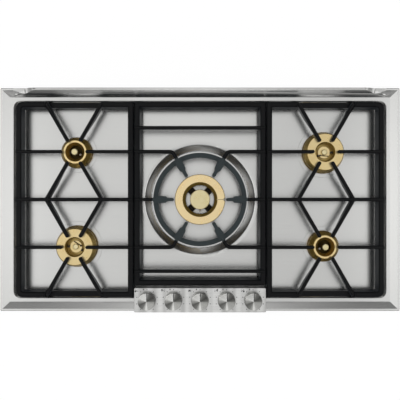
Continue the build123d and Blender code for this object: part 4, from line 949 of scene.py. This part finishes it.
@dataclass
class Burners:
    """Five burners: brass bases, heads and caps, with their injectors, electrodes and sensors."""

    places: tuple[str, ...] = (*SIDE_BURNERS, "wok")
    igniters: tuple[Igniter, ...] = (
        Igniter("left_rear", 10.25, (180.0, 330.0), 40.0, 72.0),
        Igniter("right_front", 10.25, (210.0, 0.0), 40.0, 72.0),
        Igniter("left_front", 16.6, (180.0, 330.0), 56.2, 79.5, stained=True),
        Igniter("right_rear", 16.6, (210.0, 0.0), 56.2, 79.5, stained=True),
    )
    rod_radius: float = 2.4  # this and the sizes below are in millimetres
    wire_radius: float = 0.8
    wire_length: float = 6.0
    shoulder: float = 0.5
    rod_edge: float = 0.25
    rod_steps: int = 24
    wok_igniter: tuple[float, float, float, float] = (56.5, 0.0, 52.0, 86.0)  # x, y, foot, tip
    wok_sensor: tuple[float, float, float, float] = (0.0, -26.0, 42.6, 75.0)
    clip_start: Place = (11.5, 2.0, 0.0)
    clip_end: Place = (-3.6, 11.5, 0.0)
    clip_turns: tuple[tuple[str, float], ...] = (("left_front", 0.0), ("right_rear", 207.6))
    clip_height: float = 71.2
    clip_radius: float = 0.8
    bead_radii: Pair = (2.1, 1.26)

    def rod(self, shape: BMesh, x: float, y: float, foot: float, tip: float) -> None:
        """Turn a ceramic rod with a metal wire at its tip.

        Args:
            shape: mesh that receives the rod.
            x: place of its axis, in metres.
            y: place of its axis, in metres.
            foot: height of its foot, in millimetres.
            tip: height of the wire's end, in millimetres.
        """
        neck = tip - self.wire_length
        outline = [
            (0.0, foot),
            (self.rod_radius, foot),
            (self.rod_radius, neck - self.shoulder),
            (self.rod_radius - self.shoulder, neck),
            (self.wire_radius, neck),
            (self.wire_radius, tip - self.wire_radius / 2),
            (0.0, tip),
        ]
        spin_outline(shape, x, y, [(radius * MM, height * MM) for radius, height in outline], self.rod_steps)

    def electrodes(self) -> None:
        """Make the electrodes and the flame sensors that stand in the burners."""
        kinds = (("ignition_electrodes", self.wok_igniter), ("flame_sensors", self.wok_sensor))
        for kind, (name, wok_spot) in enumerate(kinds):
            white, brown = bmesh.new(), bmesh.new()
            for igniter in self.igniters:
                axis = middle(f"burner_cap_{igniter.burner}")
                angle = radians(igniter.angles[kind])
                x = axis.x + igniter.radius * MM * cos(angle)
                y = axis.y + igniter.radius * MM * sin(angle)
                self.rod(brown if igniter.stained else white, x, y, igniter.foot, igniter.tip)
            x, y, foot, tip = wok_spot
            self.rod(white, x * MM, y * MM, foot, tip)
            for shape, finish, colour in ((white, CERAMIC, "white"), (brown, BROWN_CERAMIC, "stained")):
                finish_turning(shape, self.rod_edge * MM)
                piece = add_piece(f"{name}_{colour}", shape, finish, "root")
                if shape is white:
                    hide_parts(name)

    def spark_clips(self) -> None:
        """Lay the dark spark wires with their beads over the hubs of the two large burners."""
        for burner, turn in self.clip_turns:
            axis = middle(f"burner_cap_{burner}")
            start, end = Vector(self.clip_start), Vector(self.clip_end)
            wire = end - start
            lay = Vector((0, 0, 1)).rotation_difference(wire).to_matrix().to_4x4()
            shape = bmesh.new()
            bmesh.ops.create_cone(
                shape,
                cap_ends=True,
                segments=16,
                radius1=self.clip_radius,
                radius2=self.clip_radius,
                depth=wire.length,
                matrix=Matrix.Translation((start + end) / 2) @ lay,
            )
            for spot, radius in zip((start, end), self.bead_radii):
                seat = Matrix.Translation(spot)
                bmesh.ops.create_uvsphere(shape, u_segments=20, v_segments=12, radius=radius, matrix=seat)
            for face in shape.faces:
                face.smooth = True
            place = Matrix.Translation((axis.x, axis.y, self.clip_height * MM))
            place = place @ Matrix.Rotation(radians(turn), 4, "Z") @ Matrix.Scale(MM, 4)
            bmesh.ops.transform(shape, matrix=place, verts=shape.verts)
            add_piece(f"spark_clip_{burner}", shape, BROWN_CERAMIC, "root")

    def build(self) -> None:
        """Dress the burners and make their electrodes."""
        dress([f"burner_base_{place}" for place in SIDE_BURNERS], BASE_BRASS)
        dress(["burner_base_wok"], DARK_WOK_BASE_BRASS)
        dress(["burner_head_left_front", "burner_head_right_rear"], RING_BRASS)
        dress(["burner_head_left_rear", "burner_head_right_front"], SMALL_RING_BRASS)
        dress(["burner_head_wok"], WOK_RING_BRASS)
        dress([f"burner_cap_{place}" for place in self.places], CAP_BRASS)
        dress(["injectors"], VALVE_BRASS)
        self.electrodes()
        self.spark_clips()


@dataclass
class GasTrain:
    """Valves, manifold, supply pipe, gas pipes and the gas connection."""

    def build(self) -> None:
        """Dress the gas train."""
        dress([f"{part}_{n}" for part in ("gas_valve", "valve_plug") for n in KNOB_NUMBERS], VALVE_BRASS)
        dress(["gas_inlet"], VALVE_BRASS)
        dress(["gas_manifold", "gas_supply_pipe", "gas_pipes_left", "gas_pipe_wok", "gas_pipes_right"], TUBE_STEEL)
        dress(["valve_rail"], ZINC_PLATE)


@dataclass
class Electrics:
    """Ignition module, terminal box and cable gland."""

    def build(self) -> None:
        """Dress the electrical parts."""
        dress(["ignition_module", "terminal_box", "cable_gland"], POLYAMIDE)


# ---- studio
class Axis(Enum):
    """Part of a direction in the surroundings, seen from the cooktop."""

    ACROSS = "to the right"
    ALONG = "to the rear"
    UP = "up"
    SIDEWAYS = "to either side"
    LENGTHWAYS = "to the front or the rear"


@dataclass(frozen=True)
class Swell:
    """A level of light that passes softly from one value to another along an axis."""

    axis: Axis
    span: Pair
    levels: Pair


BESIDE = Swell(Axis.LENGTHWAYS, (0.22, 0.42), (1.0, 0.0))  # keeps a light between the front and the rear


@dataclass
class Studio:
    """Pale floor, soft world light, a softbox and the camera above the cooktop."""

    floor_size: float = 6.0
    floor_gap: float = 0.1 * MM  # below the pan, so that the two flat faces don't coincide
    floor_glow: float = 1.1
    floor_white: float = 0.85  # share of the glow in what the camera sees of the floor
    # Light from overhead, bright to both sides: each row is the product of its swells, and the rows add up.
    overhead: tuple[tuple[Swell, ...], ...] = (
        (Swell(Axis.ACROSS, (-0.26, 0.26), (0.87, 0.73)),),  # the ceiling
        (BESIDE, Swell(Axis.ACROSS, (-0.38, -0.28), (0.62, 0.0))),  # the left wall
        (BESIDE, Swell(Axis.ACROSS, (0.28, 0.38), (0.0, 0.74))),  # the right wall
        (Swell(Axis.ALONG, (0.24, 0.5), (0.0, -0.28)),),  # darker to the rear
        (Swell(Axis.SIDEWAYS, (0.03, 0.2), (1.0, 0.0)), Swell(Axis.ALONG, (0.12, 0.19), (0.0, 0.42))),  # rear middle
        (Swell(Axis.SIDEWAYS, (0.03, 0.34), (0.0, 1.0)), Swell(Axis.LENGTHWAYS, (0.26, 0.5), (0.0, -0.55))),  # corners
        (Swell(Axis.SIDEWAYS, (0.28, 0.38), (0.0, 1.0)), Swell(Axis.LENGTHWAYS, (0.05, 0.25), (0.0, -0.25))),  # walls
    )
    least_light: float = 0.1
    overhead_fall: Swell = Swell(Axis.UP, (0.5, 0.82), (0.1, 1.0))  # the light overhead fades towards the horizon
    # Added to it, in the same way: a dim horizon and a window low in front.
    low_lights: tuple[tuple[Swell, ...], ...] = (
        (Swell(Axis.UP, (0.33, 0.46), (0.5, 0.0)),),
        (
            Swell(Axis.SIDEWAYS, (0.0, 0.32), (1.25, 0.2)),
            Swell(Axis.ALONG, (-0.75, -0.65), (1.0, 0.0)),
            Swell(Axis.UP, (0.24, 0.32), (0.0, 1.0)),
            Swell(Axis.UP, (0.45, 0.52), (1.0, 0.0)),
        ),
    )
    lamp_place: Place = (0.0, -2.3, 1.3)
    lamp_size: Pair = (0.9, 0.5)
    lamp_power: float = 1.0  # watts
    worktop_z: float = 0.066
    camera_distance: float = 1.2  # above the worktop surface
    focal_pixels: float = 521.1
    image_pixels: float = 400.0
    axis_row: float = 199.5  # image row of the camera's axis
    sensor: float = 36.0

    def floor(self) -> None:
        """Lay the pale floor that the cooktop's pan rests on."""
        shape = bmesh.new()
        seat = Matrix.Translation((0, 0, -self.floor_gap))
        bmesh.ops.create_grid(shape, x_segments=1, y_segments=1, size=self.floor_size, matrix=seat)
        mesh = bpy.data.meshes.new("studio_floor")
        shape.to_mesh(mesh)
        shape.free()
        made = bpy.data.materials.new("pale_floor")
        made.use_nodes = True
        tree = made.node_tree
        tree.nodes.clear()
        matte = add_node(tree, "ShaderNodeBsdfDiffuse", {"Color": linear("#ececec")})
        white = add_node(tree, "ShaderNodeEmission", {"Color": linear("#ffffff"), "Strength": self.floor_glow})
        seen = add_node(tree, "ShaderNodeLightPath").outputs["Is Camera Ray"]
        share = combine(tree, "MULTIPLY", seen, self.floor_white)
        mixed = add_node(tree, "ShaderNodeMixShader", {0: share, 1: matte.outputs[0], 2: white.outputs[0]})
        add_node(tree, "ShaderNodeOutputMaterial", {"Surface": mixed.outputs[0]})
        mesh.materials.append(made)
        floor = bpy.data.objects.new("studio_floor", mesh)
        bpy.context.scene.collection.objects.link(floor)

    def light(self, tree: Tree, axes: dict[Axis, Socket], rows: Iterable[Iterable[Swell]]) -> Socket:
        """Add up rows of light, each the product of its swells.

        Args:
            tree: the world's node tree.
            axes: socket of each axis.
            rows: the rows of swells.

        Returns:
            The light's socket.
        """
        levels = []
        for row in rows:
            swells = [remap(tree, axes[swell.axis], swell.span, swell.levels) for swell in row]
            levels.append(reduce(partial(combine, tree, "MULTIPLY"), swells))
        return reduce(partial(combine, tree, "ADD"), levels)

    def world(self) -> None:
        """Set the soft surroundings: bright overhead and to both sides, dark to the corners and the horizon."""
        world = bpy.data.worlds.new("studio_world")
        bpy.context.scene.world = world
        world.use_nodes = True
        tree = world.node_tree
        tree.nodes.clear()
        direction = add_node(tree, "ShaderNodeTexCoord").outputs["Generated"]
        parts = add_node(tree, "ShaderNodeSeparateXYZ", {0: direction}).outputs
        axes = {Axis.ACROSS: parts["X"], Axis.ALONG: parts["Y"], Axis.UP: parts["Z"]}
        axes[Axis.SIDEWAYS] = combine(tree, "ABSOLUTE", parts["X"])
        axes[Axis.LENGTHWAYS] = combine(tree, "ABSOLUTE", parts["Y"])
        level = combine(tree, "MAXIMUM", self.light(tree, axes, self.overhead), self.least_light)
        level = combine(tree, "MULTIPLY", level, self.light(tree, axes, [[self.overhead_fall]]))
        level = combine(tree, "ADD", level, self.light(tree, axes, self.low_lights))
        seen = add_node(tree, "ShaderNodeLightPath").outputs["Is Camera Ray"]
        shine = add_node(tree, "ShaderNodeBackground", {"Color": linear("#ffffff"), "Strength": level})
        white = add_node(tree, "ShaderNodeBackground", {"Color": linear("#ffffff"), "Strength": 1.0})
        mixed = add_node(tree, "ShaderNodeMixShader", {0: seen, 1: shine.outputs[0], 2: white.outputs[0]})
        add_node(tree, "ShaderNodeOutputWorld", {"Surface": mixed.outputs[0]})

    def softbox(self) -> None:
        """Hang a rectangular softbox that faces the cooktop."""
        lamp = bpy.data.lights.new("softbox_front", "AREA")
        lamp.shape = "RECTANGLE"
        lamp.size, lamp.size_y = self.lamp_size
        lamp.energy = self.lamp_power
        holder = bpy.data.objects.new("softbox_front", lamp)
        holder.location = self.lamp_place
        holder.rotation_euler = Vector(self.lamp_place).to_track_quat("Z", "Y").to_euler()
        bpy.context.scene.collection.objects.link(holder)

    def camera(self) -> None:
        """Place the camera straight above the cooktop."""
        lens = bpy.data.cameras.new("camera")
        lens.sensor_width = self.sensor
        lens.lens = self.focal_pixels / self.image_pixels * self.sensor
        lens.shift_y = (self.axis_row - self.image_pixels / 2) / self.image_pixels
        holder = bpy.data.objects.new("camera", lens)
        holder.location = (0, 0, self.worktop_z + self.camera_distance)
        bpy.context.scene.collection.objects.link(holder)
        bpy.context.scene.camera = holder

    def build(self) -> None:
        """Set up floor, world, softbox and camera."""
        self.floor()
        self.world()
        self.softbox()
        self.camera()
        bpy.context.scene.view_settings.view_transform = "Standard"


def main() -> None:
    """Build the sub-assemblies in order, then the studio."""
    logging.basicConfig(level=logging.INFO, format="%(message)s")
    for part in (Tray(), Console(), Grates(), Burners(), GasTrain(), Electrics(), Studio()):
        part.build()
        LOG.info("%s done", type(part).__name__)


if __name__ == "__main__":
    main()
